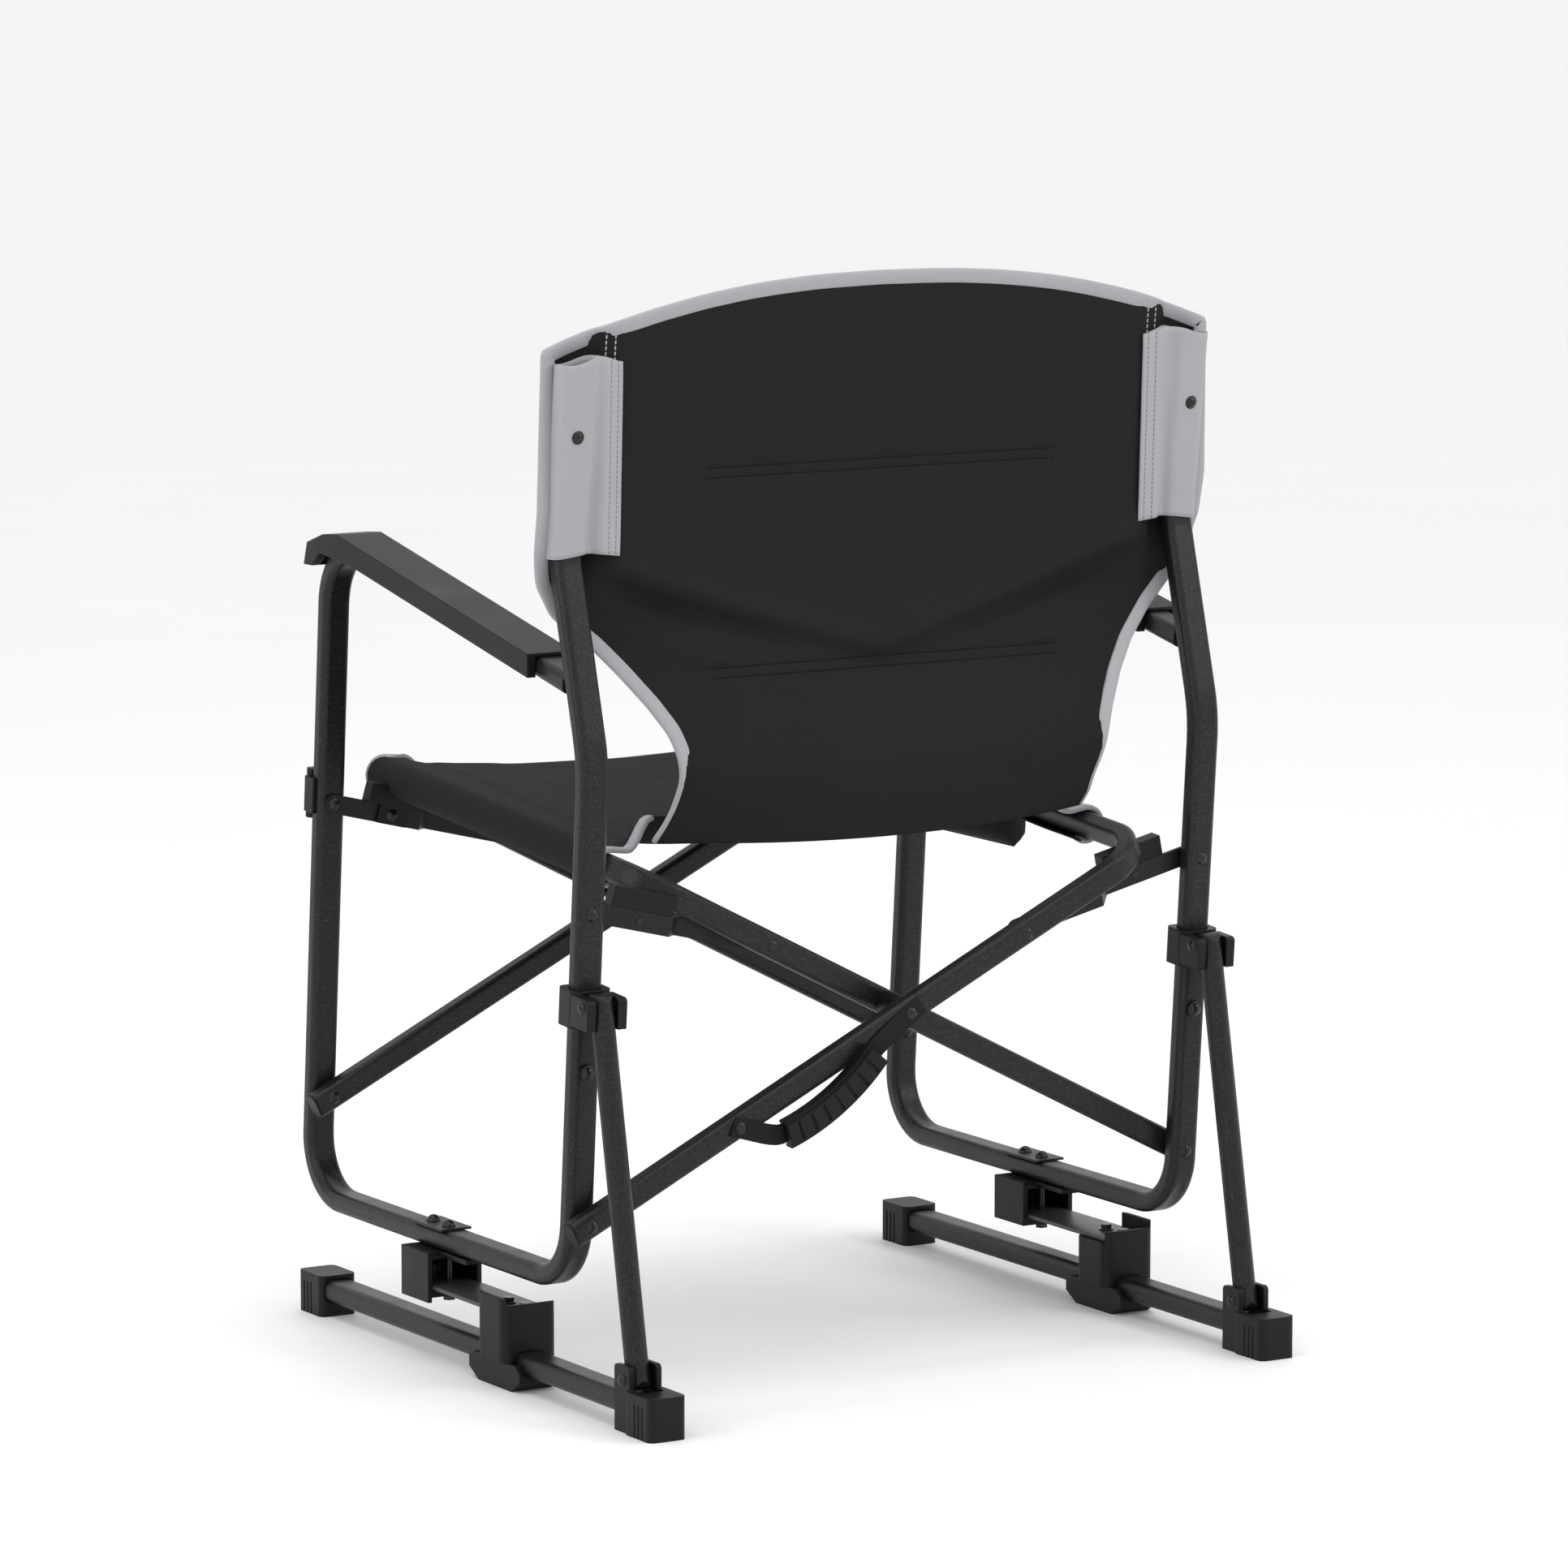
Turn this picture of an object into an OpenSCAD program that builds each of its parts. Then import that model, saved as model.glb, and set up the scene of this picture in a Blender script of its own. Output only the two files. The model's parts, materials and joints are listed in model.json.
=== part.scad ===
// Folding camp rocking chair: two side frames on spring rockers, joined by
// two crossed seat frames. Faces -Y, +Z up, floor at Z = 0, left side is +X.

/* [Overall] */
// Distance between the left and right side frames
post_gap = 580; // [480:5:700]
// Length of the rocker base on the floor
base_len = 594; // [500:5:700]
// Height of the top of the back
back_height = 899; // [880:1:1000]
// Rearward lean of the side frames
lean = 4.5; // [3:0.5:6]

/* [Side frame] */
// Side tube width across the chair
tube_w = 25; // [18:0.5:30]
// Side tube thickness in the plane of its bends
tube_t = 17; // [12:0.5:20]
// Side tube corner radius
tube_r = 6; // [3:0.5:8]
// Distance between front and rear posts
post_pitch = 440; // [380:5:480]
// Height of the bottom bar's centre
bar_z = 100.5; // [97:0.5:110]
// Height of the rear leg pivot
pivot_z = 153; // [150:1:170]
// Place of the rear leg pivot behind the middle of the base
pivot_y = 151.5; // [120:0.5:170]
// Radius of the bottom bends
bend_r = 50; // [42:1:54]
// Radius of the bend under the arm pad
arm_bend_r = 52; // [40:1:60]
// Height of the front corner of the arm
arm_z = 665; // [600:1:700]
// Height where the arm meets the rear post
arm_rear_z = 582; // [560:1:600]
// Height where the rear post turns forward
kink_z = 522; // [500:1:540]
// Height where the rear post turns up again
waist_z = 683; // [660:1:700]
// Place of that upper turn behind the middle
waist_y = 136; // [110:1:150]
// Height of the top end of the rear post
post_top_z = 832; // [800:1:870]
// Rearward lean of the top of the rear post
back_lean = 7; // [3:0.5:12]

/* [Arm pad] */
// Arm pad width
pad_w = 42; // [32:1:60]
// Arm pad skirt depth
pad_h = 19; // [14:1:26]
// Arm pad wall
pad_wall = 3; // [2:0.5:4]
// Rear end of the arm pad behind the middle
pad_rear_y = 113; // [80:1:125]

/* [Crossed seat frames] */
// Leg tube width
leg_w = 21; // [16:0.5:26]
// Leg tube thickness
leg_t = 16; // [12:0.5:20]
// Height of the centre rivet above the leg pivots
cross_h = 149; // [120:1:170]
// Distance of each seat rail from the middle
rail_x = 229; // [200:1:235]
// Radius of the bends into the seat rails
rail_bend_r = 42; // [34:1:50]
// Length of leg past its pivot
leg_tail = 15; // [13:1:20]
// Distance of the links' inner rivets from the middle
link_x = 110; // [100:1:118]
// Distance of the posts from the middle when folded
folded_x = 112; // [108:1:130]
// Link bar height
link_w = 16; // [12:1:18]
// Link bar thickness
link_t = 3; // [2:0.5:4]

/* [Rocker] */
// Base rail width
rail_w = 26; // [20:1:30]
// Base rail height
rail_t = 18; // [14:1:20]
// Base rail centre above the floor
rail_z = 22; // [18:0.5:26]
// Spring leaf width
leaf_w = 42; // [30:1:46]
// Spring leaf thickness
leaf_t = 3.5; // [2:0.5:5]
// Height of the underside of the spring leaf
leaf_z = 61; // [56:0.5:64]
// Front bracket centre ahead of the middle
front_bracket_y = 74; // [60:1:90]
// Rear bracket centre behind the middle
rear_bracket_y = 53; // [40:1:70]
// Bracket length
bracket_len = 46; // [40:1:60]
// Bracket width
bracket_w = 50; // [48:1:60]
// Strut tube diameter
strut_d = 19; // [14:0.5:22]
// Strut foot pin behind the middle
foot_y = 249; // [230:1:255]
// Strut foot pin above the floor
foot_z = 42; // [38:1:50]
// Collar pin above the leg pivots
collar_h = 181; // [160:1:200]

/* [Fasteners] */
// Rivet shank diameter
pin_d = 6; // [4:0.5:8]
// Rivet head diameter
head_d = 11; // [9:0.5:13]
// Rivet head height
head_h = 3; // [2:0.25:4]
// Radial clearance round a shank
pin_gap = 0.05; // [0.02:0.01:0.1]
// Gap between parts that pass each other
slip = 0.5; // [0.4:0.1:1]
// Washer between a leg and its post
leg_gap = 2; // [1.5:0.25:3]

/* [Fabric] */
// Fabric thickness of the seat and back solids
cloth_t = 4; // [3:0.5:6]
// Half width of the back at the posts
back_half = 304; // [250:1:360]
// Height of the bottom edge of the back
back_low_z = 449; // [440:1:480]
// Height of the bottom of the back sleeves
sleeve_z = 690; // [686:1:720]
// Sleeve width
sleeve_w = 60; // [50:1:70]
// Sag of the seat between its rails
seat_sag = 16; // [4:1:30]
// Length of the side pocket
pocket_len = 136; // [100:1:150]
// Height of the underside of the side pocket
pocket_z = 375; // [360:1:400]

/* [Hidden] */

$fn = 48;
eps = 0.01;
// Bends are this much fuller than the straight runs that enter them
seam = 0.1;
seam_lap = 0.5;
post_x = post_gap / 2;
end_y = base_len / 2;
tan_l = tan(lean);

// Layers along the leaning axis: post, leg behind or ahead of it, link
leg_off = tube_t / 2 + leg_gap + leg_t / 2;
link_out = leg_off + leg_t / 2 + slip;
link_near = tube_t / 2 + slip;
link_mid = leg_off - leg_t / 2 - slip - link_t;
leg_len = sqrt(post_x * post_x + cross_h * cross_h);
leg_ang = atan(cross_h / post_x);
rail_b = leg_len * (1 + rail_x / post_x);
link_k = link_x / post_x;
link_low = cross_h * (1 + link_k);
link_top = sqrt(leg_len * leg_len - folded_x * folded_x) * (1 + link_k);
link_h = (link_low + link_top - (1 - link_k) * (1 - link_k)
  * (post_x * post_x - folded_x * folded_x) / (link_top - link_low)) / 2;
link_run = post_x - link_x;
link_drop = link_h - link_low;
link_len = sqrt(link_run * link_run + link_drop * link_drop);
link_ang = atan(link_drop / link_run);
rail_h = cross_h * (1 + rail_x / post_x);
strap_x = 157;
strap_h = cross_h * (1 - strap_x / post_x);
strap_t = 2;
strap_w = 17;

front_reach = (post_pitch + tube_t / 2 + leg_gap + leg_t + head_h) * cos(lean) - pivot_y;
centre_y = (front_reach - end_y) / 2;

// Corners of the side tube in the plane across the chair, as [y, z]
front_pivot = [pivot_y - post_pitch * cos(lean), pivot_z + post_pitch * sin(lean)];
function rear_line(z) = pivot_y + (z - pivot_z) * tan_l;
function front_line(z) = front_pivot[0] + (z - front_pivot[1]) * tan_l;
function upright_y(z) = waist_y + (z - waist_z) * tan(back_lean);
kink = [rear_line(kink_z), kink_z];
waist = [waist_y, waist_z];
arm_rear = [kink[0] + (waist[0] - kink[0]) * (arm_rear_z - kink_z) / (waist_z - kink_z), arm_rear_z];
arm_front = [front_line(arm_z), arm_z];
arm_slope = (arm_front[1] - arm_rear[1]) / (arm_rear[0] - arm_front[0]);
arm_ang = atan(arm_slope);
function arm_line(y) = arm_rear[1] + (arm_rear[0] - y) * arm_slope;
arm_end = [arm_rear[0] - tube_t / 2 - 1, arm_rear[1] + (tube_t / 2 + 1) * arm_slope];
side_path = [arm_end, arm_front, [front_line(bar_z), bar_z], [rear_line(bar_z), bar_z],
  kink, waist, [upright_y(post_top_z), post_top_z]];
side_radii = [0, arm_bend_r, bend_r, bend_r, 120, 50, 0];

bar_top = bar_z + tube_t / 2;
bar_under = bar_z - tube_t / 2;
plate_t = 2;
rear_wall = 3;
leaf_top = leaf_z + leaf_t;
floor_t = 6.5;
bracket_wall = 4;
bolt_pitch = 26;
front_bolts = [-front_bracket_y - bolt_pitch / 2, -front_bracket_y + bolt_pitch / 2];
rear_bolts = [rear_bracket_y - bolt_pitch / 2, rear_bracket_y + bolt_pitch / 2];
cap_w = rail_w + 8;
cap_h = rail_z + rail_t / 2 + 4;
cap_len = 42;
cheek_gap = strut_d + 1.2;
cheek_t = 4.5;
collar_wall = 5;
strut_slot = 3;
lug_reach = tube_t / 2 + slip + collar_wall + strut_slot + slip + strut_d / 2;
collar_len = 30;
collar_low = collar_h - 21;
collar_top_y = pivot_y + lug_reach * cos(lean) + collar_h * sin(lean);
collar_top_z = pivot_z - lug_reach * sin(lean) + collar_h * cos(lean);
strut_len = sqrt(pow(foot_y - collar_top_y, 2) + pow(collar_top_z - foot_z, 2));
strut_ang = atan((foot_y - collar_top_y) / (collar_top_z - foot_z));

// ---------- shared shapes ----------

module section(w, t, r) {
  square([w - 2 * r, t], center = true);
  square([w, t - 2 * r], center = true);
  for (i = [-1, 1], j = [-1, 1])
    translate([i * (w / 2 - r), j * (t / 2 - r)]) circle(r);
}

function heading(a, b) = atan2(b[1] - a[1], b[0] - a[0]);
function turn(a, b, c) = let (d = heading(b, c) - heading(a, b))
  d > 180 ? d - 360 : d < -180 ? d + 360 : d;
function trim(p, r, i) = (i <= 0 || i >= len(p) - 1) ? 0
  : r[i] * tan(abs(turn(p[i - 1], p[i], p[i + 1])) / 2);

// Tube along a flat path in XY, w is its width along Z, t in the plane
module bent_tube(p, r, w, t, cr) {
  for (i = [0 : len(p) - 2]) {
    a = heading(p[i], p[i + 1]);
    s = trim(p, r, i);
    e = trim(p, r, i + 1);
    d = norm(p[i + 1] - p[i]);
    s0 = s > 0 ? s - seam_lap : 0;
    e0 = e > 0 ? e - seam_lap : 0;
    translate([p[i][0], p[i][1], 0]) rotate([0, 0, a]) translate([s0, 0, 0])
      rotate([0, 90, 0]) linear_extrude(d - s0 - e0) section(w, t, cr);
  }
  for (i = [1 : len(p) - 2]) {
    a = heading(p[i - 1], p[i]);
    q = turn(p[i - 1], p[i], p[i + 1]);
    s = trim(p, r, i);
    side = q > 0 ? 1 : -1;
    translate([p[i][0], p[i][1], 0]) rotate([0, 0, a]) translate([-s, side * r[i], 0])
      rotate([0, 0, side > 0 ? -90 : 90 + q])
        rotate_extrude(angle = abs(q), $fn = 96) translate([r[i], 0])
          section(t + seam, w + seam, cr);
  }
}

// Brings the middle of the whole chair over the origin
module placed() {
  translate([0, centre_y, 0]) children();
}

// Frame that leans back with the posts, its origin at the rear leg pivots
module upper() {
  translate([0, pivot_y, pivot_z]) rotate([-lean, 0, 0]) children();
}

module left() {
  translate([post_x, 0, 0]) children();
}

module flip() {
  mirror([1, 0, 0]) children();
}

// Shank along the leaning axis from v0 to v1
module pin_at(x, h, v0, v1, d) {
  translate([x, v0, h]) rotate([-90, 0, 0]) cylinder(d = d, h = v1 - v0);
}

module dome(d, h) {
  intersection() {
    translate([0, 0, h - d * d / (8 * h) - h / 2]) sphere(r = d * d / (8 * h) + h / 2);
    cylinder(d = d, h = h);
  }
}

// Rivet along the leaning axis, heads outside v0 and v1
module rivet_at(x, h, v0, v1) {
  pin_at(x, h, v0 - eps, v1 + eps, pin_d);
  translate([x, v1, h]) rotate([-90, 0, 0]) dome(head_d, head_h);
  translate([x, v0, h]) rotate([90, 0, 0]) dome(head_d, head_h);
}

// ---------- rocker base ----------

module base_rail() {
  color("dimgray") left() translate([0, -end_y + 8, rail_z]) rotate([-90, 0, 0])
    linear_extrude(base_len - 16) section(rail_w, rail_t, tube_r);
}

module rail_hollow() {
  translate([0, -end_y + 8 - slip / 2, rail_z]) rotate([-90, 0, 0])
    linear_extrude(base_len - 16 + slip) section(rail_w + slip, rail_t + slip, tube_r);
}

module cap_body(y0, y1) {
  translate([0, (y0 + y1) / 2, 0]) linear_extrude(cap_h) section(cap_w, y1 - y0, tube_r);
}

module front_cap() {
  color("black") left() difference() {
    cap_body(-end_y, -end_y + cap_len);
    rail_hollow();
    for (i = [-1, 1], n = [0 : 2])
      translate([i * cap_w / 2, -end_y + 12 + n * 6, 0]) cylinder(d = 2.4, h = cap_h - 8);
  }
}

module rear_cap() {
  color("black") left() difference() {
    union() {
      cap_body(end_y - cap_len, end_y);
      translate([-cheek_gap / 2 - cheek_t, foot_y - 12, 0])
        rotate([90, 0, 90]) linear_extrude(cheek_gap + 2 * cheek_t)
          cheek_outline(24, foot_z + 12);
    }
    rail_hollow();
    translate([-cheek_gap / 2, foot_y - 24, foot_z - strut_d / 2 - 1])
      cube([cheek_gap, 48, 60]);
    translate([-cap_w, foot_y, foot_z]) rotate([0, 90, 0])
      cylinder(d = pin_d + 2 * pin_gap, h = 2 * cap_w);
    for (i = [-1, 1], n = [0 : 2])
      translate([i * cap_w / 2, end_y - 12 - n * 6, 0]) cylinder(d = 2.4, h = cap_h - 8);
  }
}

// Cheek seen from the side, its upper corners rounded
module cheek_outline(w, h) {
  square([w, h - 4]);
  translate([4, 0]) square([w - 8, h]);
  for (x = [4, w - 4]) translate([x, h - 4]) circle(4);
}

module foot_pin() {
  reach = cheek_gap / 2 + cheek_t;
  color("black") left() translate([0, foot_y, foot_z]) {
    translate([-reach - eps, 0, 0]) rotate([0, 90, 0]) cylinder(d = pin_d, h = 2 * reach + 2 * eps);
    translate([reach, 0, 0]) rotate([0, 90, 0]) dome(head_d, head_h);
    translate([-reach, 0, 0]) rotate([0, -90, 0]) dome(head_d, head_h);
  }
}

module rear_bracket() {
  low = rail_z + 1;
  y0 = rear_bracket_y - bracket_len / 2;
  lip = 11.5;
  color("black") left() difference() {
    union() {
      translate([0, rear_bracket_y, low]) linear_extrude(leaf_z - low)
        section(bracket_w, bracket_len, 8);
      intersection() {
        translate([0, rear_bracket_y, low]) linear_extrude(leaf_top + lip - low)
          section(bracket_w, bracket_len, 8);
        union() {
          translate([leaf_w / 2 + slip, y0, low]) cube([bracket_w, bracket_len, 60]);
          translate([-bracket_w / 2, y0 + bracket_len - rear_wall, low])
            cube([bracket_w, rear_wall, leaf_top + lip / 2 - low]);
        }
      }
    }
    rail_hollow();
    for (y = rear_bolts)
      translate([0, y, leaf_z - 16]) cylinder(d = pin_d + 2 * pin_gap, h = 17);
  }
}

module rail_saddle() {
  y0 = rear_bracket_y - 46;
  y1 = rear_bracket_y + 38;
  top = rail_z + 0.6;
  color("black") left() difference() {
    translate([-rail_w / 2 - 6, 0, 0]) rotate([90, 0, 90]) linear_extrude(rail_w + 12)
      polygon([[y0 + 16, 0], [y1 - 14, 0], [y1, 9], [y1, top - 6], [y1 - 8, top],
        [y0 + 8, top], [y0, top - 4], [y0, 9]]);
    rail_hollow();
  }
}

module hex_bolt(len_mm) {
  cylinder(d = pin_d, h = len_mm, center = false);
  translate([0, 0, len_mm]) cylinder(d = head_d + 1, h = 1.2);
  translate([0, 0, len_mm + 1.2 - eps]) cylinder(d = head_d - 1, h = 4, $fn = 6);
}

module bracket_bolts() {
  color("black") left() for (y = rear_bolts)
    translate([0, y, leaf_z - 14]) hex_bolt(14 + leaf_t + 0.02);
}

module spring_leaf() {
  y0 = -front_bracket_y - bracket_len / 2 + bracket_wall + slip;
  y1 = rear_bracket_y + bracket_len / 2 - rear_wall - slip;
  color("silver") left() difference() {
    translate([-leaf_w / 2, y0, leaf_z + 0.01]) cube([leaf_w, y1 - y0, leaf_t - 0.01]);
    for (y = [front_bolts[0], front_bolts[1], rear_bolts[0], rear_bolts[1]])
      translate([0, y, leaf_z - 1]) cylinder(d = pin_d + 2 * pin_gap, h = leaf_t + 2);
  }
}

// ---------- side frame ----------

module side_plane() {
  rotate([90, 0, 90]) children();
}

module frame_bores(d) {
  upper() {
    for (h = [0, link_h], v = [0, -post_pitch])
      pin_at(0, h, v - tube_t, v + tube_t, d);
    pin_at(0, stop_h, -tube_t / 2 + 1.5, tube_t, d);
  }
}

stop_h = collar_low - 38;
sleeve_screw_z = sleeve_z + 90;
sleeve_wall = 2.2;

module side_tube() {
  color("dimgray") left() difference() {
    side_plane() bent_tube(side_path, side_radii, tube_w, tube_t, tube_r);
    frame_bores(pin_d + 2 * pin_gap);
    for (y = front_bolts)
      translate([0, y, bar_under - 1]) cylinder(d = pin_d + 2 * pin_gap, h = tube_t + 2);
    upright() pin_at(0, (sleeve_screw_z - waist_z) / cos(back_lean), -tube_t, tube_t,
      pin_d + 2 * pin_gap);
  }
}

// Frame along the top part of the rear post
module upright() {
  translate([0, waist_y, waist_z]) rotate([-back_lean, 0, 0]) children();
}

module back_sleeve() {
  wall = sleeve_wall;
  far = tube_w / 2 + slip + wall;
  z0 = (sleeve_z - waist_z) / cos(back_lean);
  z1 = (post_top_z + 6 - waist_z) / cos(back_lean);
  depth = tube_t + 2 * slip + 2 * wall;
  color("lightgray") left() upright() difference() {
    translate([far - sleeve_w / 2, 0, z0]) linear_extrude(z1 - z0)
      section(sleeve_w, depth, wall + 3);
    translate([0, 0, z0 - 1])
      linear_extrude((post_top_z - waist_z) / cos(back_lean) + 2 * slip + 1 - z0)
        section(tube_w + 2 * slip, tube_t + 2 * slip, tube_r);
    pin_at(0, (sleeve_screw_z - waist_z) / cos(back_lean), 0, 30, pin_d + 2 * pin_gap);
  }
}

// Rivets of a side frame; side is 1 where the legs lie behind the posts
module frame_rivets(side) {
  v0 = side > 0 ? -tube_t / 2 : -leg_off - leg_t / 2;
  v1 = side > 0 ? leg_off + leg_t / 2 : tube_t / 2;
  out = tube_t / 2 + slip + sleeve_wall;
  h = (sleeve_screw_z - waist_z) / cos(back_lean);
  color("black") left() {
    upper() {
      rivet_at(0, link_h, -link_near - link_t - 0.1, tube_t / 2);
      rivet_at(0, link_h, -post_pitch - tube_t / 2, -post_pitch + link_near + link_t + 0.1);
      for (v = [0, -post_pitch]) {
        rivet_at(0, 0, v + v0, v + v1);
        pin_at(0, 0, v + (side > 0 ? tube_t / 2 : -tube_t / 2 - leg_gap + 0.1),
          v + (side > 0 ? tube_t / 2 + leg_gap - 0.1 : -tube_t / 2), 14);
      }
    }
    upright() {
      pin_at(0, h, -tube_t / 2 + 2, out + eps, pin_d);
      translate([0, out, h]) rotate([-90, 0, 0]) dome(head_d, head_h);
    }
  }
}

// Outline of the arm pad seen from the side: top line, nose and skirt
module pad_outline(grow) {
  top = tube_t / 2 / cos(arm_ang) + pad_wall - grow;
  crest = arm_front[0] + 40;
  nose = arm_front[0] - 12;
  skirt = pad_h - grow;
  polygon([
    [pad_rear_y + (grow > 0 ? 1 : 0), arm_line(pad_rear_y) + top],
    [crest, arm_line(crest) + top],
    [crest - 24, arm_line(crest) + top - 2],
    [nose + grow, arm_line(crest) + top - 11],
    [nose - 6 + 2 * grow, arm_line(crest) + top - 30],
    [nose + 8, arm_line(crest) + top - 30],
    [nose + 22, arm_line(crest) + top - skirt - grow + 1],
    [crest + 30, arm_line(crest + 30) + top - skirt - grow],
    [pad_rear_y + (grow > 0 ? 1 : 0), arm_line(pad_rear_y) + top - skirt - grow]]);
}

module arm_pad() {
  color("black") left() difference() {
    translate([-pad_w / 2, 0, 0]) side_plane() linear_extrude(pad_w) pad_outline(0);
    translate([-tube_w / 2 - 1, 0, 0]) side_plane() linear_extrude(tube_w + 2)
      translate([0, -pad_wall + slip / 2 - 30]) arm_slot();
    side_plane() bent_tube(side_path, side_radii, tube_w + slip, tube_t + slip, tube_r);
  }
}

// Room under the pad's top for the tube
module arm_slot() {
  lift = 30 + tube_t / 2 / cos(arm_ang) + pad_wall;
  polygon([
    [pad_rear_y + 1, arm_line(pad_rear_y + 1) + lift],
    [arm_front[0] + 46, arm_line(arm_front[0] + 46) + lift],
    [arm_front[0] + 10, arm_line(arm_front[0] + 46) + lift - 8],
    [arm_front[0] - 4, arm_line(arm_front[0] + 46) + lift - 24],
    [arm_front[0] - 4, arm_line(arm_front[0] + 46) + lift - 60],
    [pad_rear_y + 1, arm_line(pad_rear_y + 1) + lift - 60]]);
}

module front_bracket() {
  y0 = -front_bracket_y - bracket_len / 2;
  low = leaf_z - floor_t;
  top = bar_under - 0.1;
  mouth = bracket_w - 2 * bracket_wall;
  color("black") left() difference() {
    union() {
      translate([-bracket_w / 2, y0, low]) cube([bracket_w, bracket_len, top - low]);
      translate([bracket_w / 2 - bracket_wall + slip, y0, low - 4])
        cube([bracket_wall - slip, bracket_len, 5]);
      translate([-tube_w / 2, y0 + bracket_len - eps, top - 4]) cube([tube_w, 42, 4]);
    }
    difference() {
      translate([-mouth / 2, y0 + bracket_wall + 2, leaf_top + 0.3])
        cube([mouth, bracket_len, top - 6 - leaf_top - 0.3]);
      translate([-2, 0, 0]) side_plane() linear_extrude(4)
        polygon([[y0, top], [y0 + bracket_len - 4, top], [y0, leaf_top + 2]]);
    }
    translate([-leaf_w / 2 - slip / 2, y0 + bracket_wall, leaf_z - 0.05])
      cube([leaf_w + slip, bracket_len, leaf_t + 0.4]);
    for (y = front_bolts)
      translate([0, y, low - 5]) cylinder(d = pin_d + 2 * pin_gap, h = top - low + 10);
  }
}

module bar_plate() {
  color("dimgray") left() difference() {
    translate([-14, -front_bracket_y - 28, bar_top + 0.05]) cube([28, 54, plate_t]);
    for (y = front_bolts)
      translate([0, y, bar_top - 1]) cylinder(d = pin_d + 2 * pin_gap, h = plate_t + 2);
  }
}

module bar_bolts() {
  low = leaf_z - floor_t - 0.05;
  top = bar_top + plate_t + 0.1;
  color("black") left() for (y = front_bolts) translate([0, y, 0]) {
    translate([0, 0, low - eps]) cylinder(d = pin_d, h = top - low + 2 * eps);
    translate([0, 0, top]) dome(head_d + 1, 5);
    translate([0, 0, low - 5]) cylinder(d = head_d, h = 5, $fn = 6);
  }
}

module collar_stop() {
  color("black") left() upper() {
    pin_at(0, stop_h, -tube_t / 2 + 2, tube_t / 2 + eps, pin_d);
    translate([0, tube_t / 2, stop_h]) rotate([-90, 0, 0]) cylinder(d = 14, h = 2.5);
    translate([0, tube_t / 2 + 2.5 - eps, stop_h]) rotate([-90, 0, 0]) dome(head_d, head_h);
  }
}

module post_clip() {
  h0 = link_h - 15;
  front = -post_pitch - tube_t / 2 - slip;
  color("black") left() upper() difference() {
    union() {
      translate([2, front - 4.5, h0]) linear_extrude(42) section(22, 9, 4);
      translate([tube_w / 2 + slip / 2, front - 4, h0 + 6]) cube([3, 15, 30]);
      translate([-9, front - 3, h0 + 6]) cube([24, 3, 30]);
    }
    translate([2, front - 9, h0 + 8]) cylinder(d = 2.5, h = 26);
    pin_at(0, link_h, front - head_h - slip, front + slip + eps, head_d + 2);
  }
}

// ---------- strut and collar ----------

module collar() {
  wide = tube_w + 2 * slip + 2 * collar_wall;
  deep = tube_t + 2 * slip + 2 * collar_wall;
  color("black") left() upper() difference() {
    union() {
      translate([0, 0, collar_low]) linear_extrude(collar_len) section(wide, deep, 7);
      difference() {
        translate([-wide / 2, lug_reach + 10, collar_low + 3]) rotate([90, 0, 90])
          mirror([1, 0, 0]) linear_extrude(wide) cheek_outline(lug_reach, collar_len - 5);
        translate([-cheek_gap / 2, 0, collar_low]) cube([cheek_gap, lug_reach + 20, 2 * collar_len]);
      }
    }
    translate([0, 0, collar_low - 1]) linear_extrude(collar_len + 2)
      section(tube_w + 2 * slip, tube_t + 2 * slip, tube_r);
    translate([-wide, lug_reach, collar_h]) rotate([0, 90, 0])
      cylinder(d = pin_d + 2 * pin_gap, h = 2 * wide);
  }
}

module collar_pin() {
  reach = tube_w / 2 + slip + collar_wall;
  color("black") left() upper() translate([0, lug_reach, collar_h]) {
    translate([-reach - eps, 0, 0]) rotate([0, 90, 0]) cylinder(d = pin_d, h = 2 * reach + 2 * eps);
    translate([reach, 0, 0]) rotate([0, 90, 0]) dome(head_d, head_h);
    translate([-reach, 0, 0]) rotate([0, -90, 0]) dome(head_d, head_h);
  }
}

module strut() {
  end_r = strut_d / 2 + 0.3;
  color("dimgray") left() translate([0, foot_y, foot_z]) rotate([strut_ang, 0, 0]) difference() {
    intersection() {
      translate([0, 0, -strut_d]) cylinder(d = strut_d, h = strut_len + 2 * strut_d);
      rotate([90, 0, 90]) linear_extrude(2 * strut_d, center = true) {
        circle(r = end_r);
        translate([0, strut_len]) circle(r = end_r);
        translate([-end_r, 0]) square([2 * end_r, strut_len]);
      }
    }
    translate([-strut_d, 0, 0]) rotate([0, 90, 0])
      cylinder(d = pin_d + 2 * pin_gap, h = 2 * strut_d);
    translate([-strut_d, 0, strut_len]) rotate([0, 90, 0])
      cylinder(d = pin_d + 2 * strut_slot, h = 2 * strut_d);
  }
}

// ---------- crossed seat frames ----------

// Lays a flat path so X runs along the leaning axis and Y along a leg that
// starts at a right leg pivot and rises to the left
module leg_plane() {
  translate([-post_x, 0, 0]) rotate([0, -leg_ang, 0]) rotate([180, 0, 90]) children();
}

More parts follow.
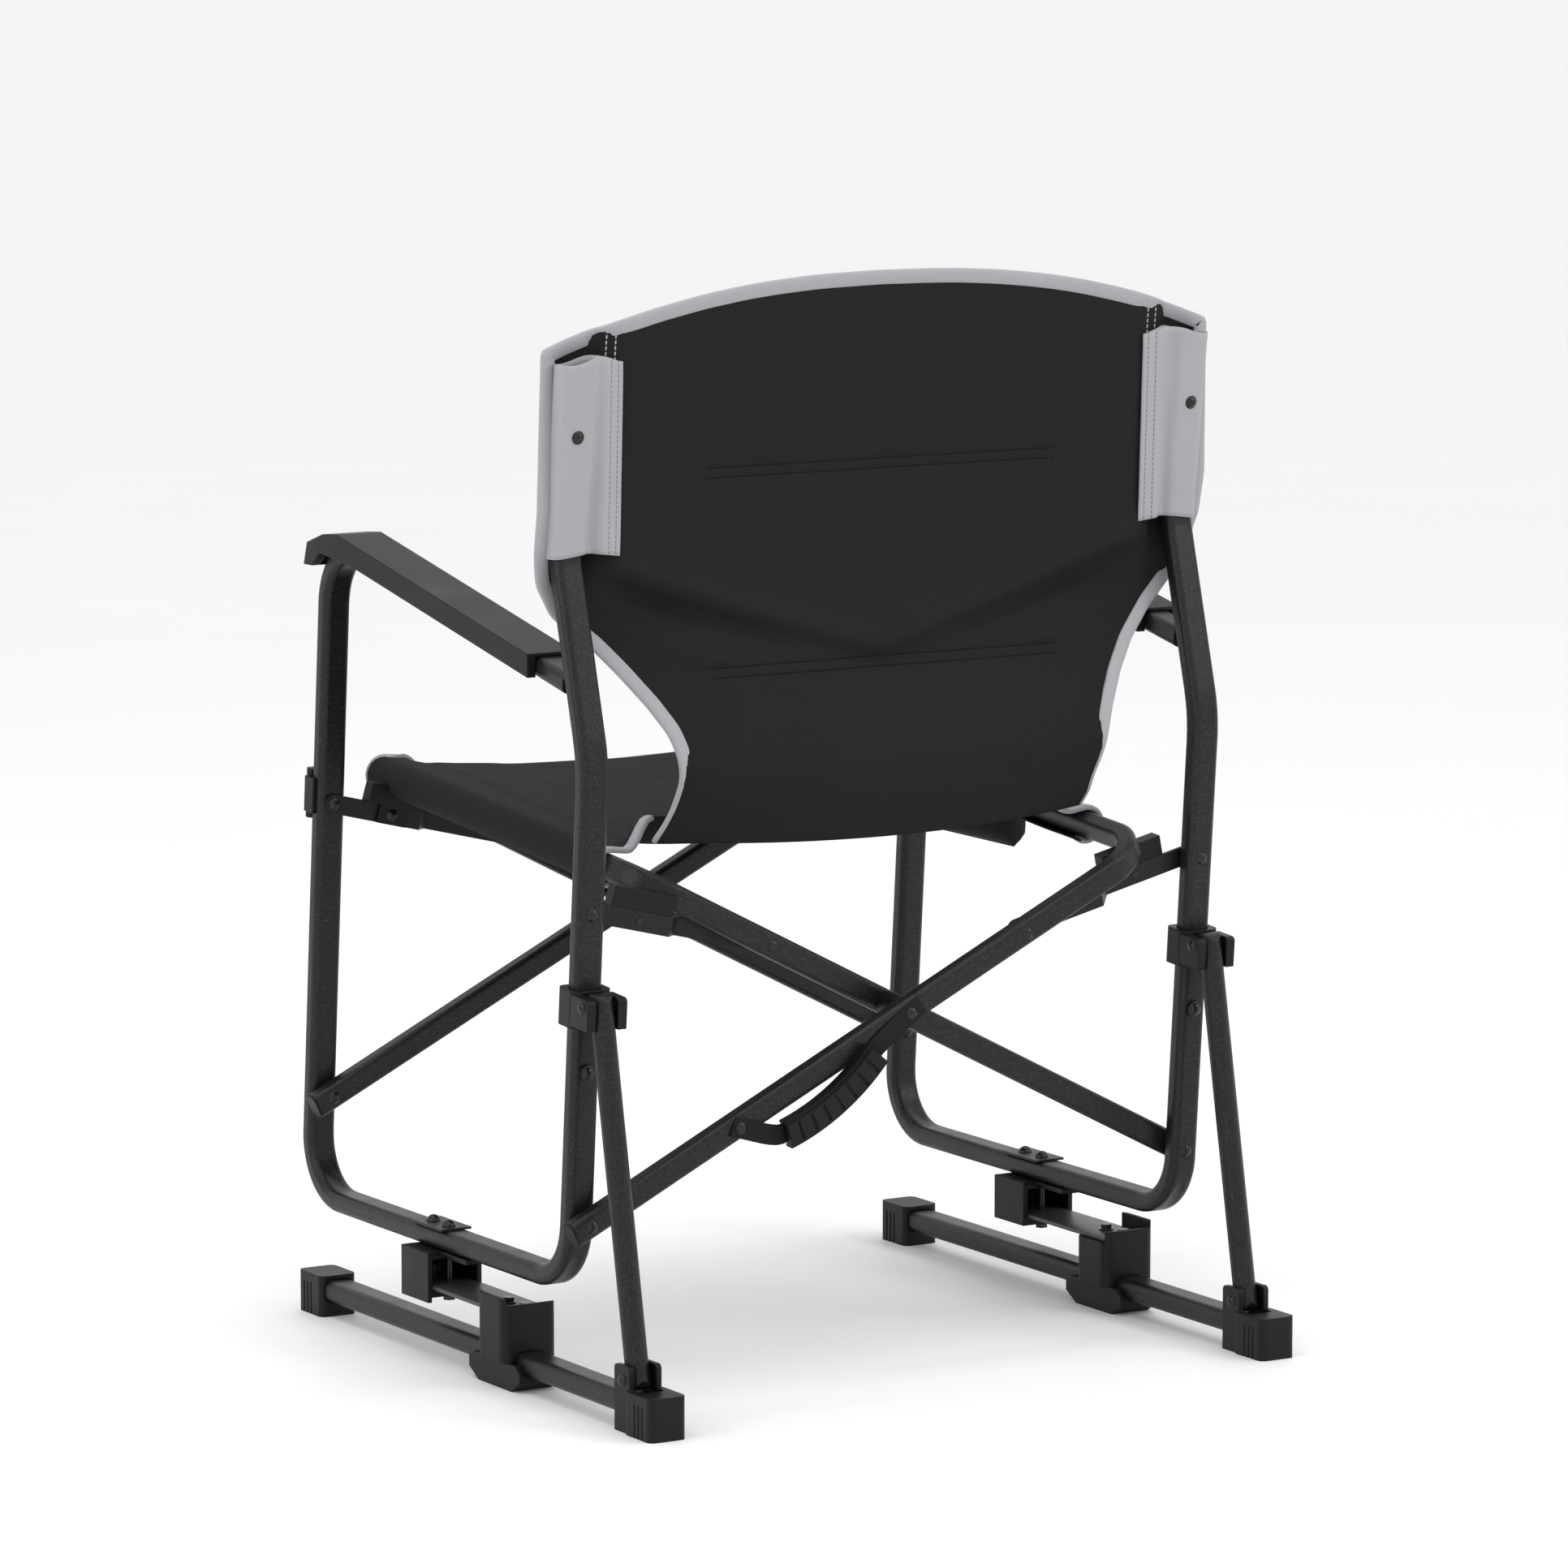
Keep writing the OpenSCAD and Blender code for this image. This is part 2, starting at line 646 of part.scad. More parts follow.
module x_tube(off) {
  difference() {
    leg_plane() bent_tube([[off, -leg_tail], [off, rail_b], [off - post_pitch, rail_b],
      [off - post_pitch, -leg_tail]], [0, rail_bend_r, rail_bend_r, 0], leg_w, leg_t, 5);
    for (v = [0, -post_pitch]) {
      pin_at(-post_x, 0, v + off - leg_t, v + off + leg_t, pin_d + 2 * pin_gap);
      pin_at(0, cross_h, v + off - leg_t, v + off + leg_t, pin_d + 2 * pin_gap);
      pin_at(link_x, link_low, v + off - leg_t, v + off + leg_t, pin_d + 2 * pin_gap);
    }
  }
}

module x_frame_a() {
  color("dimgray") upper() x_tube(-leg_off);
}

module x_frame_b() {
  color("dimgray") upper() flip() difference() {
    x_tube(leg_off);
    pin_at(-strap_x, strap_h, leg_off - leg_t, leg_off + leg_t, pin_d + 2 * pin_gap);
  }
}

module leg_caps(off) {
  color("black") upper() leg_plane() for (v = [off, off - post_pitch])
    translate([v, -leg_tail - 0.05, 0]) rotate([90, 0, 0]) linear_extrude(2)
      section(leg_t, leg_w, 5);
}

// Heads on the leg's outer face, shanks end inside the leg
module leg_heads(x, h, v0, v1, out) {
  pin_at(x, h, v0 + (out < 0 ? -eps : 1), v1 + (out < 0 ? -1 : eps), pin_d);
  translate([x, out < 0 ? v0 : v1, h]) rotate([out < 0 ? 90 : -90, 0, 0]) dome(head_d, head_h);
}

module x_frame_a_rivets() {
  a0 = -leg_off - leg_t / 2;
  a1 = -leg_off + leg_t / 2;
  color("black") upper() {
    leg_heads(link_x, link_low, a0, a1, 1);
    leg_heads(link_x, link_low, a0 - post_pitch, a1 - post_pitch, -1);
  }
}

module x_frame_b_rivets() {
  b0 = leg_off - leg_t / 2;
  b1 = leg_off + leg_t / 2;
  color("black") upper() {
    rivet_at(0, cross_h, -b1, b1 + strap_t + 0.1);
    rivet_at(0, cross_h, -post_pitch - b1, -post_pitch + b1);
    leg_heads(-link_x, link_low, b0, b1, 1);
    leg_heads(-link_x, link_low, b0 - post_pitch, b1 - post_pitch, -1);
    leg_heads(strap_x, strap_h, b0, b1 + strap_t + 0.1, 1);
  }
}

module centre_spacers() {
  inner = leg_off - leg_t / 2 - 0.1;
  color("black") upper() for (v = [0, -post_pitch]) difference() {
    pin_at(0, cross_h, v - inner, v + inner, 20);
    pin_at(0, cross_h, v - inner - 1, v + inner + 1, pin_d + 2 * pin_gap);
  }
}

// ---------- links ----------

saddle_e = 55;
// The link steps from its post's face to its leg's face between these
jog_a = 85;
jog_b = 101;

// Places a link's own frame on a left post: X runs to the leg rivet
module link_frame(v) {
  translate([post_x, v, link_h]) flip() rotate([0, link_ang, 0]) children();
}

// Link outline from above: v0 on the post, v1 on the leg, grown by g
module link_strip(v0, v1, g) {
  x0 = -link_w / 2 - g;
  x1 = link_len + link_w / 2 + g;
  polygon([[x0, v0 - g], [jog_a, v0 - g], [jog_b, v1 - g], [x1, v1 - g],
    [x1, v1 + link_t + g], [jog_b, v1 + link_t + g], [jog_a, v0 + link_t + g],
    [x0, v0 + link_t + g]]);
}

module link_bar(v0, v1) {
  d = pin_d + 2 * pin_gap;
  difference() {
    intersection() {
      translate([0, 0, -link_w / 2]) linear_extrude(link_w) link_strip(v0, v1, 0);
      rotate([90, 0, 0]) translate([0, 0, -60]) linear_extrude(120) {
        circle(d = link_w);
        translate([link_len, 0]) circle(d = link_w);
        translate([0, -link_w / 2]) square([link_len, link_w]);
      }
    }
    pin_at(0, 0, v0 - 1, v0 + link_t + 1, d);
    pin_at(link_len, 0, v1 - 1, v1 + link_t + 1, d);
    pin_at(saddle_e, 0, v0 - 1, v0 + link_t + 1, d);
  }
}

rear_near = -link_near - link_t;
// Link layer on the legs, for the leg ahead of its post and the leg behind it
ahead = -link_out - link_t;
behind = link_mid;

module link(v, v0, v1) {
  color("dimgray") upper() link_frame(v) link_bar(v0, v1);
}

// Rivets of a link: v0 is its face on the post, v1 its face on the leg, and side
// is 1 where the heads are on its +Y face
module link_rivet_pair(v0, v1, side) {
  for (x = [link_len, saddle_e]) {
    v = x == saddle_e ? v0 : v1;
    grip = x == saddle_e ? rest_t + 0.1 : 0;
    a = side > 0 ? v - 0.4 : v - grip - 0.05;
    b = side > 0 ? v + link_t + grip + 0.05 : v + link_t + 0.4;
    translate([x, a, 0]) rotate([-90, 0, 0]) cylinder(d = pin_d, h = b - a);
    translate([x, side > 0 ? b : a, 0]) rotate([side > 0 ? -90 : 90, 0, 0])
      dome(head_d, head_h);
  }
}

module link_rivets(rear_far, front_far) {
  color("black") upper() {
    link_frame(0) link_rivet_pair(rear_near, rear_far, -1);
    link_frame(-post_pitch) link_rivet_pair(link_near, front_far, 1);
  }
}

rest_t = 3;

// Moulded rest on a link that a seat rail lies in
module link_rest(v0, side) {
  deep = link_t + rest_t + 6;
  front = side > 0 ? v0 : v0 + link_t - deep;
  skirt = side > 0 ? v0 + link_t + 0.1 : v0 - rest_t - 0.1;
  difference() {
    union() {
      translate([26, front, link_w / 2 + 0.1]) cube([58, deep, 17]);
      translate([42, skirt, -link_w / 2]) cube([28, rest_t, link_w + 4]);
    }
    pin_at(saddle_e, 0, v0 - 30, v0 + 30, pin_d + 2 * pin_gap);
  }
}

module rail_room(off) {
  leg_plane() bent_tube([[off, -leg_tail], [off, rail_b], [off - post_pitch, rail_b],
    [off - post_pitch, -leg_tail]], [0, rail_bend_r, rail_bend_r, 0],
    leg_w + 2 * slip, leg_t + 2 * slip, 5);
}

module link_saddles(off) {
  color("black") upper() difference() {
    union() {
      link_frame(0) link_rest(rear_near, -1);
      link_frame(-post_pitch) link_rest(link_near, 1);
    }
    rail_room(off);
  }
}

// ---------- carrying strap ----------

grip_a = [31, 125];
grip_b = [123, 58];
grip_w = 24;
grip_t = 12;
grip_bow = 9;
grip_run = norm(grip_b - grip_a);
grip_r = (grip_run * grip_run / 4 + grip_bow * grip_bow) / (2 * grip_bow);
grip_turn = 2 * asin(grip_run / 2 / grip_r);
grip_way = atan2(grip_b[1] - grip_a[1], grip_b[0] - grip_a[0]);
tab = 22;

module strap_run(a, b, w) {
  translate(a) rotate(atan2(b[1] - a[1], b[0] - a[0])) translate([0, -w / 2])
    square([norm(b - a), w]);
}

module strap_bores() {
  for (p = [[0, cross_h], [strap_x, strap_h]])
    translate(p) circle(d = pin_d + 2 * pin_gap);
}

// Puts the centre of the grip's bow at the origin, the grip hanging below it
module grip_bow_frame() {
  translate((grip_a + grip_b) / 2) rotate(grip_way) translate([0, grip_r - grip_bow]) children();
}

// Part of a ring that follows the grip, w wide, reaching past its ends by more
module grip_arc(w, more) {
  half = grip_turn / 2 + more;
  far = 2 * grip_r;
  grip_bow_frame() intersection() {
    difference() {
      circle(r = grip_r + w / 2, $fn = 96);
      circle(r = grip_r - w / 2, $fn = 96);
    }
    polygon([[0, 0], [-far * sin(half), -far * cos(half)], [far * sin(half), -far * cos(half)]]);
  }
}

// Lays a flat shape on the rear face of the crossed frames, from v0 to v1
module on_legs(v0, v1) {
  translate([0, v1, 0]) rotate([90, 0, 0]) linear_extrude(v1 - v0) children();
}

module carry_strap() {
  v0 = leg_off + leg_t / 2 + 0.1;
  color("black") upper() on_legs(v0, v0 + strap_t - 0.1) difference() {
    union() {
      strap_run([0, cross_h], grip_a, strap_w);
      grip_arc(strap_w, 1);
      strap_run(grip_b, [strap_x, strap_h], strap_w);
      for (p = [grip_a, grip_b]) translate(p) circle(d = strap_w + 1);
      for (p = [[0, cross_h], [strap_x, strap_h]])
        translate(p) rotate(-leg_ang) square(tab, center = true);
    }
    strap_bores();
  }
}

module carry_grip() {
  v0 = leg_off + leg_t / 2 + 0.4;
  top = v0 + grip_t;
  color("black") upper() difference() {
    on_legs(v0, top) grip_arc(grip_w, -2);
    on_legs(v0 - 1, v0 + strap_t + 0.6) grip_arc(strap_w + 2, 5);
    for (n = [-3 : 3]) on_legs(top - 1.5, top + 1) grip_bow_frame() rotate(n * 4.2)
      translate([0, -grip_r]) square([2.6, grip_w - 8], center = true);
    on_legs(top - 3, top + 1) difference() {
      grip_arc(grip_w + 4, 5);
      grip_arc(grip_w - 5, 6);
    }
  }
}

// ---------- fabric ----------

roll_r = 16.5;

// Sag of the seat at a distance from the middle
module seat_profile(half) {
  top = rail_h + leg_w / 2 * cos(leg_ang) + 2.5;
  n = 8;
  polygon(concat(
    [for (i = [-n : n]) [i * half / n, top - seat_sag * (1 - i * i / (n * n))]],
    [for (i = [-n : n]) [-i * half / n, top - cloth_t - seat_sag * (1 - i * i / (n * n))]]));
}

module seat_run(v0, v1) {
  translate([0, v1, 0]) rotate([90, 0, 0]) linear_extrude(v1 - v0) children();
}

module seat() {
  off = leg_off + rail_bend_r + 4;
  v0 = -post_pitch + off - leg_off + slip;
  v1 = -off - slip;
  color("dimgray") upper() {
    seat_run(-post_pitch + off, v1) difference() {
      union() {
        seat_profile(rail_x);
        for (i = [-1, 1]) translate([i * rail_x, rail_h]) circle(r = roll_r);
      }
      for (i = [-1, 1]) translate([i * rail_x, rail_h]) circle(r = roll_r - 3.5);
    }
    seat_run(-post_pitch - 12, -post_pitch + off) seat_profile(rail_x - rail_bend_r - 18);
  }
}

back_pts = [[204, back_low_z - waist_z], [200, 500 - waist_z], [228, 560 - waist_z],
  [262, 620 - waist_z], [back_half - 4, 662 - waist_z], [back_half, sleeve_z - waist_z],
  [back_half, back_height - 49 - waist_z], [190, back_height - 16 - waist_z],
  [0, back_height - waist_z]];

module backrest() {
  n = len(back_pts);
  gap = tube_t / 2 + slip + sleeve_wall + 1;
  color("dimgray") upright() translate([0, -gap, 0]) rotate([90, 0, 0]) linear_extrude(cloth_t)
    polygon(concat(back_pts / cos(back_lean) * cos(back_lean),
      [for (i = [n - 2 : -1 : 0]) [-back_pts[i][0], back_pts[i][1]]]));
}

pocket_front = arm_front[0] + 20;
pocket_rear = pocket_front + pocket_len;
pocket_top = arm_line(pocket_rear) - tube_t / 2 - 40;
pocket_out = -13;

// Pocket below the right arm, open at the top
module side_pocket() {
  front = pocket_front;
  rear = pocket_rear;
  top = pocket_top;
  color("dimgray") translate([-post_x, 0, 0]) difference() {
    translate([pocket_out, 0, 0]) side_plane() linear_extrude(34) polygon([
      [front + 6, pocket_z], [rear - 6, pocket_z], [rear, pocket_z + 14], [rear, top],
      [front, top + 8], [front, pocket_z + 14]]);
    translate([pocket_out + 4, front + 4, pocket_z + 6]) cube([26, pocket_len - 8, 400]);
  }
}

// Two straps on the pocket's outer side that hang it from the arm
module pocket_straps() {
  color("black") translate([pocket_out - 3 - slip - post_x, 0, 0]) side_plane()
    linear_extrude(3) for (y = [pocket_front + 34, pocket_rear - 26])
      polygon([[y, pocket_top - 16], [y + 18, pocket_top - 16],
        [y + 18, arm_line(y + 18) - tube_t / 2 - 4], [y, arm_line(y) - tube_t / 2 - 4]]);
}

placed() base_rail();  // left_base_rail
placed() front_cap();  // left_front_cap
placed() rear_cap();  // left_rear_cap
placed() rear_bracket();  // left_rear_bracket
placed() rail_saddle();  // left_rail_saddle
placed() bracket_bolts();  // left_bracket_bolts
placed() spring_leaf();  // left_spring_leaf
placed() foot_pin();  // left_foot_pin
placed() side_tube();  // left_side_tube
placed() arm_pad();  // left_arm_pad
placed() front_bracket();  // left_front_bracket
placed() bar_plate();  // left_bar_plate
placed() bar_bolts();  // left_bar_bolts
placed() collar_stop();  // left_collar_stop
placed() frame_rivets(1);  // left_frame_rivets
placed() back_sleeve();  // left_back_sleeve
placed() collar();  // left_collar
placed() collar_pin();  // left_collar_pin
placed() strut();  // left_strut
placed() flip() base_rail();  // right_base_rail
placed() flip() front_cap();  // right_front_cap
placed() flip() rear_cap();  // right_rear_cap
placed() flip() rear_bracket();  // right_rear_bracket
placed() flip() rail_saddle();  // right_rail_saddle
placed() flip() bracket_bolts();  // right_bracket_bolts
placed() flip() spring_leaf();  // right_spring_leaf
placed() flip() foot_pin();  // right_foot_pin
placed() flip() side_tube();  // right_side_tube
placed() flip() arm_pad();  // right_arm_pad
placed() flip() front_bracket();  // right_front_bracket
placed() flip() bar_plate();  // right_bar_plate
placed() flip() bar_bolts();  // right_bar_bolts
placed() flip() collar_stop();  // right_collar_stop
placed() flip() frame_rivets(-1);  // right_frame_rivets
placed() flip() back_sleeve();  // right_back_sleeve
placed() flip() collar();  // right_collar
placed() flip() collar_pin();  // right_collar_pin
placed() flip() strut();  // right_strut
placed() link(0, rear_near, ahead);  // left_rear_link
placed() link(-post_pitch, link_near, -behind - link_t);  // left_front_link
placed() flip() link(0, rear_near, behind);  // right_rear_link
placed() flip() link(-post_pitch, link_near, -ahead - link_t);  // right_front_link
placed() link_saddles(-leg_off);  // left_link_saddles
placed() flip() link_saddles(leg_off);  // right_link_saddles
placed() link_rivets(ahead, -behind - link_t);  // left_link_rivets
placed() flip() link_rivets(behind, -ahead - link_t);  // right_link_rivets
placed() post_clip();
placed() x_frame_a();
placed() x_frame_b();
placed() leg_caps(-leg_off);  // x_frame_a_caps
placed() flip() leg_caps(leg_off);  // x_frame_b_caps
placed() x_frame_a_rivets();
placed() x_frame_b_rivets();
placed() centre_spacers();
placed() carry_strap();
placed() carry_grip();
placed() side_pocket();
placed() pocket_straps();
placed() seat();
placed() backrest();
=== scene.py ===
"""Folding camp rocking chair: cloth, webbing, springs and finishes round its metal frame."""

import json
import math

import bpy
import numpy as np
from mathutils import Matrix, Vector, noise


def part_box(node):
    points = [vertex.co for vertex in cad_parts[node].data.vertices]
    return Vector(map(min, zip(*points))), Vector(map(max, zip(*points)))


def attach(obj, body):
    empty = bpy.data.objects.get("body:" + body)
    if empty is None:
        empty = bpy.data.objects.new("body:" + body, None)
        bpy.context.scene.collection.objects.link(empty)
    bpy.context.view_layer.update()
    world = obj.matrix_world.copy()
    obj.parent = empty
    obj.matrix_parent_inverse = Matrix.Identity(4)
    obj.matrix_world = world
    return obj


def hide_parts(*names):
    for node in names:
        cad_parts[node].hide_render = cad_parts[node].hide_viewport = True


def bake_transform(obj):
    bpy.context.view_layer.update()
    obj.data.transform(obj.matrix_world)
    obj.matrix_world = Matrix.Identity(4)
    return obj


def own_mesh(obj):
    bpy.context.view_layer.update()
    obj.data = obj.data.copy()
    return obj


bl_info = {
    "name": "Camp rocking chair",
    "version": (1, 0, 0),
    "blender": (4, 5, 0),
    "location": "View3D > Sidebar > Rocking chair",
    "description": "Sews the cloth of a folding rocking chair and finishes its frame",
    "category": "Object",
}

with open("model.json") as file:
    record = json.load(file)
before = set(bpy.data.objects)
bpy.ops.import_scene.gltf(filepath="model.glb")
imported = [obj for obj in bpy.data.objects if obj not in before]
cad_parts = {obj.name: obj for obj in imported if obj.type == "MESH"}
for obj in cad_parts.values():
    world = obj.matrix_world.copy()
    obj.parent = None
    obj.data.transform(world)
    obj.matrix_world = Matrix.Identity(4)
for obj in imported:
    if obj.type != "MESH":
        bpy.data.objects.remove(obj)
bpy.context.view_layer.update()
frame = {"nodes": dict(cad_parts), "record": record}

MM = 0.001

# Places shared with the frame, in millimetres
POST_X = 290.0
SHIFT = 9.776
PIVOT = (151.5 + SHIFT, 153.0)
LEAN = math.radians(4.5)
CROSS_H = 149.0
RAIL_X = 229.0
RAIL_H = CROSS_H * (1 + RAIL_X / POST_X)
WAIST = (136.0 + SHIFT, 683.0)
BACK_LEAN = math.radians(7.0)
LEG_BACK = 26.5


def upper(x, v, w):
    """A point of the leaning frame, from across, along and up, in millimetres."""
    y = PIVOT[0] + v * math.cos(LEAN) + w * math.sin(LEAN)
    z = PIVOT[1] - v * math.sin(LEAN) + w * math.cos(LEAN)
    return np.array([x, y, z])


def upright(x, out, z):
    """A point beside the top of the rear posts; out is behind their middle."""
    rise = z - WAIST[1]
    y = WAIST[0] + rise * math.tan(BACK_LEAN) + out / math.cos(BACK_LEAN)
    return np.array([x, y, z])


def smooth(edge0, edge1, value):
    """0 before edge0, 1 after edge1 and an even curve between."""
    t = np.clip((value - edge0) / (edge1 - edge0), 0.0, 1.0)
    return t * t * (3 - 2 * t)


def ripple(x, y, size, seed=0.0):
    """Smooth repeatable unevenness from -1 to 1; size is its width in millimetres."""
    return noise.noise(Vector((x / size + seed, y / size - seed, seed * 1.7)))


# ---------- mesh helpers ----------


def deselect():
    if bpy.context.object and bpy.context.object.mode != "OBJECT":
        bpy.ops.object.mode_set(mode="OBJECT")
    bpy.ops.object.select_all(action="DESELECT")


def activate(piece):
    deselect()
    piece.select_set(True)
    bpy.context.view_layer.objects.active = piece


def apply_modifier(piece, kind, **settings):
    """Adds a modifier and applies it at once."""
    activate(piece)
    modifier = piece.modifiers.new(kind.title(), kind)
    for key, value in settings.items():
        setattr(modifier, key, value)
    bpy.ops.object.modifier_apply(modifier=modifier.name)


def cloth(name, points, span, thickness=0.0, ring=False, finish=None):
    """A sheet through a grid of points in millimetres, with its own UV map in metres."""
    columns, rows = points.shape[0] - 1, points.shape[1] - 1
    deselect()
    bpy.ops.mesh.primitive_grid_add(x_subdivisions=columns, y_subdivisions=rows, size=1)
    piece = bpy.context.object
    piece.name = piece.data.name = name
    mesh = piece.data
    flat = np.zeros(len(mesh.vertices) * 3)
    mesh.vertices.foreach_get("co", flat)
    flat = flat.reshape(-1, 3)
    i = np.rint((flat[:, 0] + 0.5) * columns).astype(int)
    j = np.rint((flat[:, 1] + 0.5) * rows).astype(int)
    mesh.vertices.foreach_set("co", (points[i, j] * MM).ravel())
    corner = np.zeros(len(mesh.loops), int)
    mesh.loops.foreach_get("vertex_index", corner)
    uv = np.stack([i[corner] / columns * span[0], j[corner] / rows * span[1]], 1)
    mesh.uv_layers[0].data.foreach_set("uv", uv.ravel())
    mesh.uv_layers[0].name = "UVMap"
    mesh.update()
    if ring:
        bpy.ops.object.mode_set(mode="EDIT")
        bpy.ops.mesh.select_all(action="SELECT")
        bpy.ops.mesh.remove_doubles(threshold=0.00002)
        bpy.ops.mesh.normals_make_consistent(inside=False)
        bpy.ops.object.mode_set(mode="OBJECT")
    if thickness:
        apply_modifier(piece, "SOLIDIFY", thickness=thickness * MM, offset=0)
    activate(piece)
    bpy.ops.object.shade_smooth()
    if finish:
        piece.data.materials.append(finish)
    return piece


def sheet_area(points):
    """Area of a grid of points, in square metres."""
    a = points[1:, :-1] - points[:-1, :-1]
    b = points[:-1, 1:] - points[:-1, :-1]
    return float(np.linalg.norm(np.cross(a, b), axis=2).sum()) * MM * MM


def declare_sheet(points):
    wide = np.linalg.norm(np.diff(points, axis=0), axis=2).sum(0).max() * MM
    long = np.linalg.norm(np.diff(points, axis=1), axis=2).sum(1).max() * MM
    area = min(sheet_area(points), wide * long)


def smooth_path(path, rounds=2):
    """Rounds the corners of an open line of points."""
    path = np.asarray(path, float)
    for _ in range(rounds):
        near = path[:-1] * 0.75 + path[1:] * 0.25
        far = path[:-1] * 0.25 + path[1:] * 0.75
        middle = np.stack([near, far], 1).reshape(-1, 3)
        path = np.vstack([path[:1], middle, path[-1:]])
    return path


def even_path(path, step):
    """The same line with points an equal step apart."""
    path = np.asarray(path, float)
    run = np.concatenate([[0], np.cumsum(np.linalg.norm(np.diff(path, axis=0), axis=1))])
    count = max(2, int(run[-1] / step))
    at = np.linspace(0, run[-1], count + 1)
    return np.stack([np.interp(at, run, path[:, k]) for k in range(3)], 1), run[-1]


TAPE = [(-1.4, 0.0), (-1.1, 1.3), (-0.2, 2.0), (2.5, 2.3), (9.6, 2.2), (10.4, 1.7),
        (10.6, 0.0), (10.4, -1.7), (9.6, -2.2), (2.5, -2.3), (-0.2, -2.0), (-1.1, -1.3)]


def edge_tape(name, path, inward, finish, profile=TAPE, step=4.0, wave=0.25):
    """Folded tape along an edge; inward(point) and the path give its flat side."""
    path, length = even_path(path, step)
    tangent = np.gradient(path, axis=0)
    tangent /= np.linalg.norm(tangent, axis=1)[:, None]
    grid = []
    for p, t in zip(path, tangent):
        side = inward(p)
        side = side - t * side.dot(t)
        side /= np.linalg.norm(side)
        normal = np.cross(t, side)
        swell = 1 + wave * 0.3 * ripple(p[0] + p[1], p[2], 22.0, 3.1)
        shift = wave * ripple(p[0], p[2] + p[1], 31.0, 8.3)
        ring = [p + side * (a + shift) + normal * b * swell for a, b in profile]
        grid.append(ring + ring[:1])
    points = np.array(grid)
    round_run = sum(math.dist(profile[k - 1], profile[k]) for k in range(len(profile)))
    tape = cloth(name, points, (length * MM, round_run * MM), ring=True, finish=finish)
    close_ends(tape)
    return tape


def close_ends(piece):
    """Fills the open ends of a tube and turns its faces outwards."""
    activate(piece)
    bpy.ops.object.mode_set(mode="EDIT")
    bpy.ops.mesh.select_all(action="DESELECT")
    bpy.ops.mesh.select_mode(type="EDGE")
    bpy.ops.mesh.select_non_manifold()
    bpy.ops.mesh.edge_face_add()
    bpy.ops.mesh.select_all(action="SELECT")
    bpy.ops.mesh.normals_make_consistent(inside=False)
    bpy.ops.object.mode_set(mode="OBJECT")


# ---------- finishes ----------


# Place behind the middle, height and direction of each hollow, in metres
DENTS = ((0.1365, 0.664, -0.2, 0.98), (0.151, 0.112, 0.7, 0.71), (-0.259, 0.112, 0.7, -0.71))


class Wire:
    """An output socket that adds Math nodes when it is used in an expression."""

    def __init__(self, finish, socket):
        self.finish = finish
        self.socket = socket

    def math(self, operation, *others):
        values = dict(enumerate([self, *others]))
        return self.finish.node("ShaderNodeMath", {"operation": operation}, values)

    def __add__(self, other):
        return self.math("ADD", other)

    def __sub__(self, other):
        return self.math("SUBTRACT", other)

    def __mul__(self, other):
        return self.math("MULTIPLY", other)

    def __rsub__(self, other):
        settings = {"operation": "SUBTRACT"}
        return self.finish.node("ShaderNodeMath", settings, {0: other, 1: self})

    __radd__ = __add__
    __rmul__ = __mul__


class Finish:
    """One procedural material and the nodes that it is made from."""

    def __init__(self, name):
        self.material = bpy.data.materials.new(name)
        self.material.use_nodes = True
        self.tree = self.material.node_tree
        self.tree.nodes.clear()
        self.shader = self.tree.nodes.new("ShaderNodeBsdfPrincipled")
        output = self.tree.nodes.new("ShaderNodeOutputMaterial")
        self.tree.links.new(self.shader.outputs[0], output.inputs["Surface"])

    def node(self, kind, settings=None, inputs=None, output=0):
        """Adds a node: its settings first, then values or wires for its sockets."""
        made = self.tree.nodes.new(kind)
        for key, value in (settings or {}).items():
            if key == "stops":
                ramp = made.color_ramp
                for stop, (place, color) in zip(ramp.elements, value):
                    stop.position = place
                    stop.color = color
            else:
                setattr(made, key, value)
        for key, value in (inputs or {}).items():
            self.feed(made.inputs[key], value)
        return Wire(self, made.outputs[output])

    def feed(self, socket, value):
        if isinstance(value, Wire):
            self.tree.links.new(value.socket, socket)
        else:
            socket.default_value = value

    def set(self, **values):
        """Sets or links sockets of the shader, named with underscores for spaces."""
        for key, value in values.items():
            self.feed(self.shader.inputs[key.replace("_", " ")], value)

    def place(self):
        """Object coordinates, in metres."""
        return self.node("ShaderNodeTexCoord", output="Object")

    def along(self):
        """The piece's own UV map, in metres along the cloth."""
        return self.node("ShaderNodeUVMap", {"uv_map": "UVMap"})

    def axes(self, vector):
        return [self.node("ShaderNodeSeparateXYZ", None, {0: vector}, k) for k in range(3)]

    def speck(self, vector, scale, detail=2.0, roughness=0.5):
        values = {"Vector": vector, "Scale": scale, "Detail": detail, "Roughness": roughness}
        return self.node("ShaderNodeTexNoise", None, values, "Fac")

    def step(self, value, low, high):
        """0 below low, 1 above high."""
        values = {0: value, 1: low, 2: high, 3: 0.0, 4: 1.0}
        return self.node("ShaderNodeMapRange", {"interpolation_type": "SMOOTHSTEP"}, values)

    def tint(self, factor, low, high):
        """A colour between low and high."""
        mixed = {"Factor": factor, 6: (*low, 1) if isinstance(low, tuple) else low,
                 7: (*high, 1) if isinstance(high, tuple) else high}
        return self.node("ShaderNodeMix", {"data_type": "RGBA"}, mixed, 2)

    def bump(self, height, strength, distance, edge=0.0):
        """Relief from a height; edge rounds the corners that light meets."""
        values = {"Height": height, "Strength": strength, "Distance": distance}
        if edge:
            values["Normal"] = self.node("ShaderNodeBevel", {"samples": 4}, {"Radius": edge})
        self.set(Normal=self.node("ShaderNodeBump", None, values))


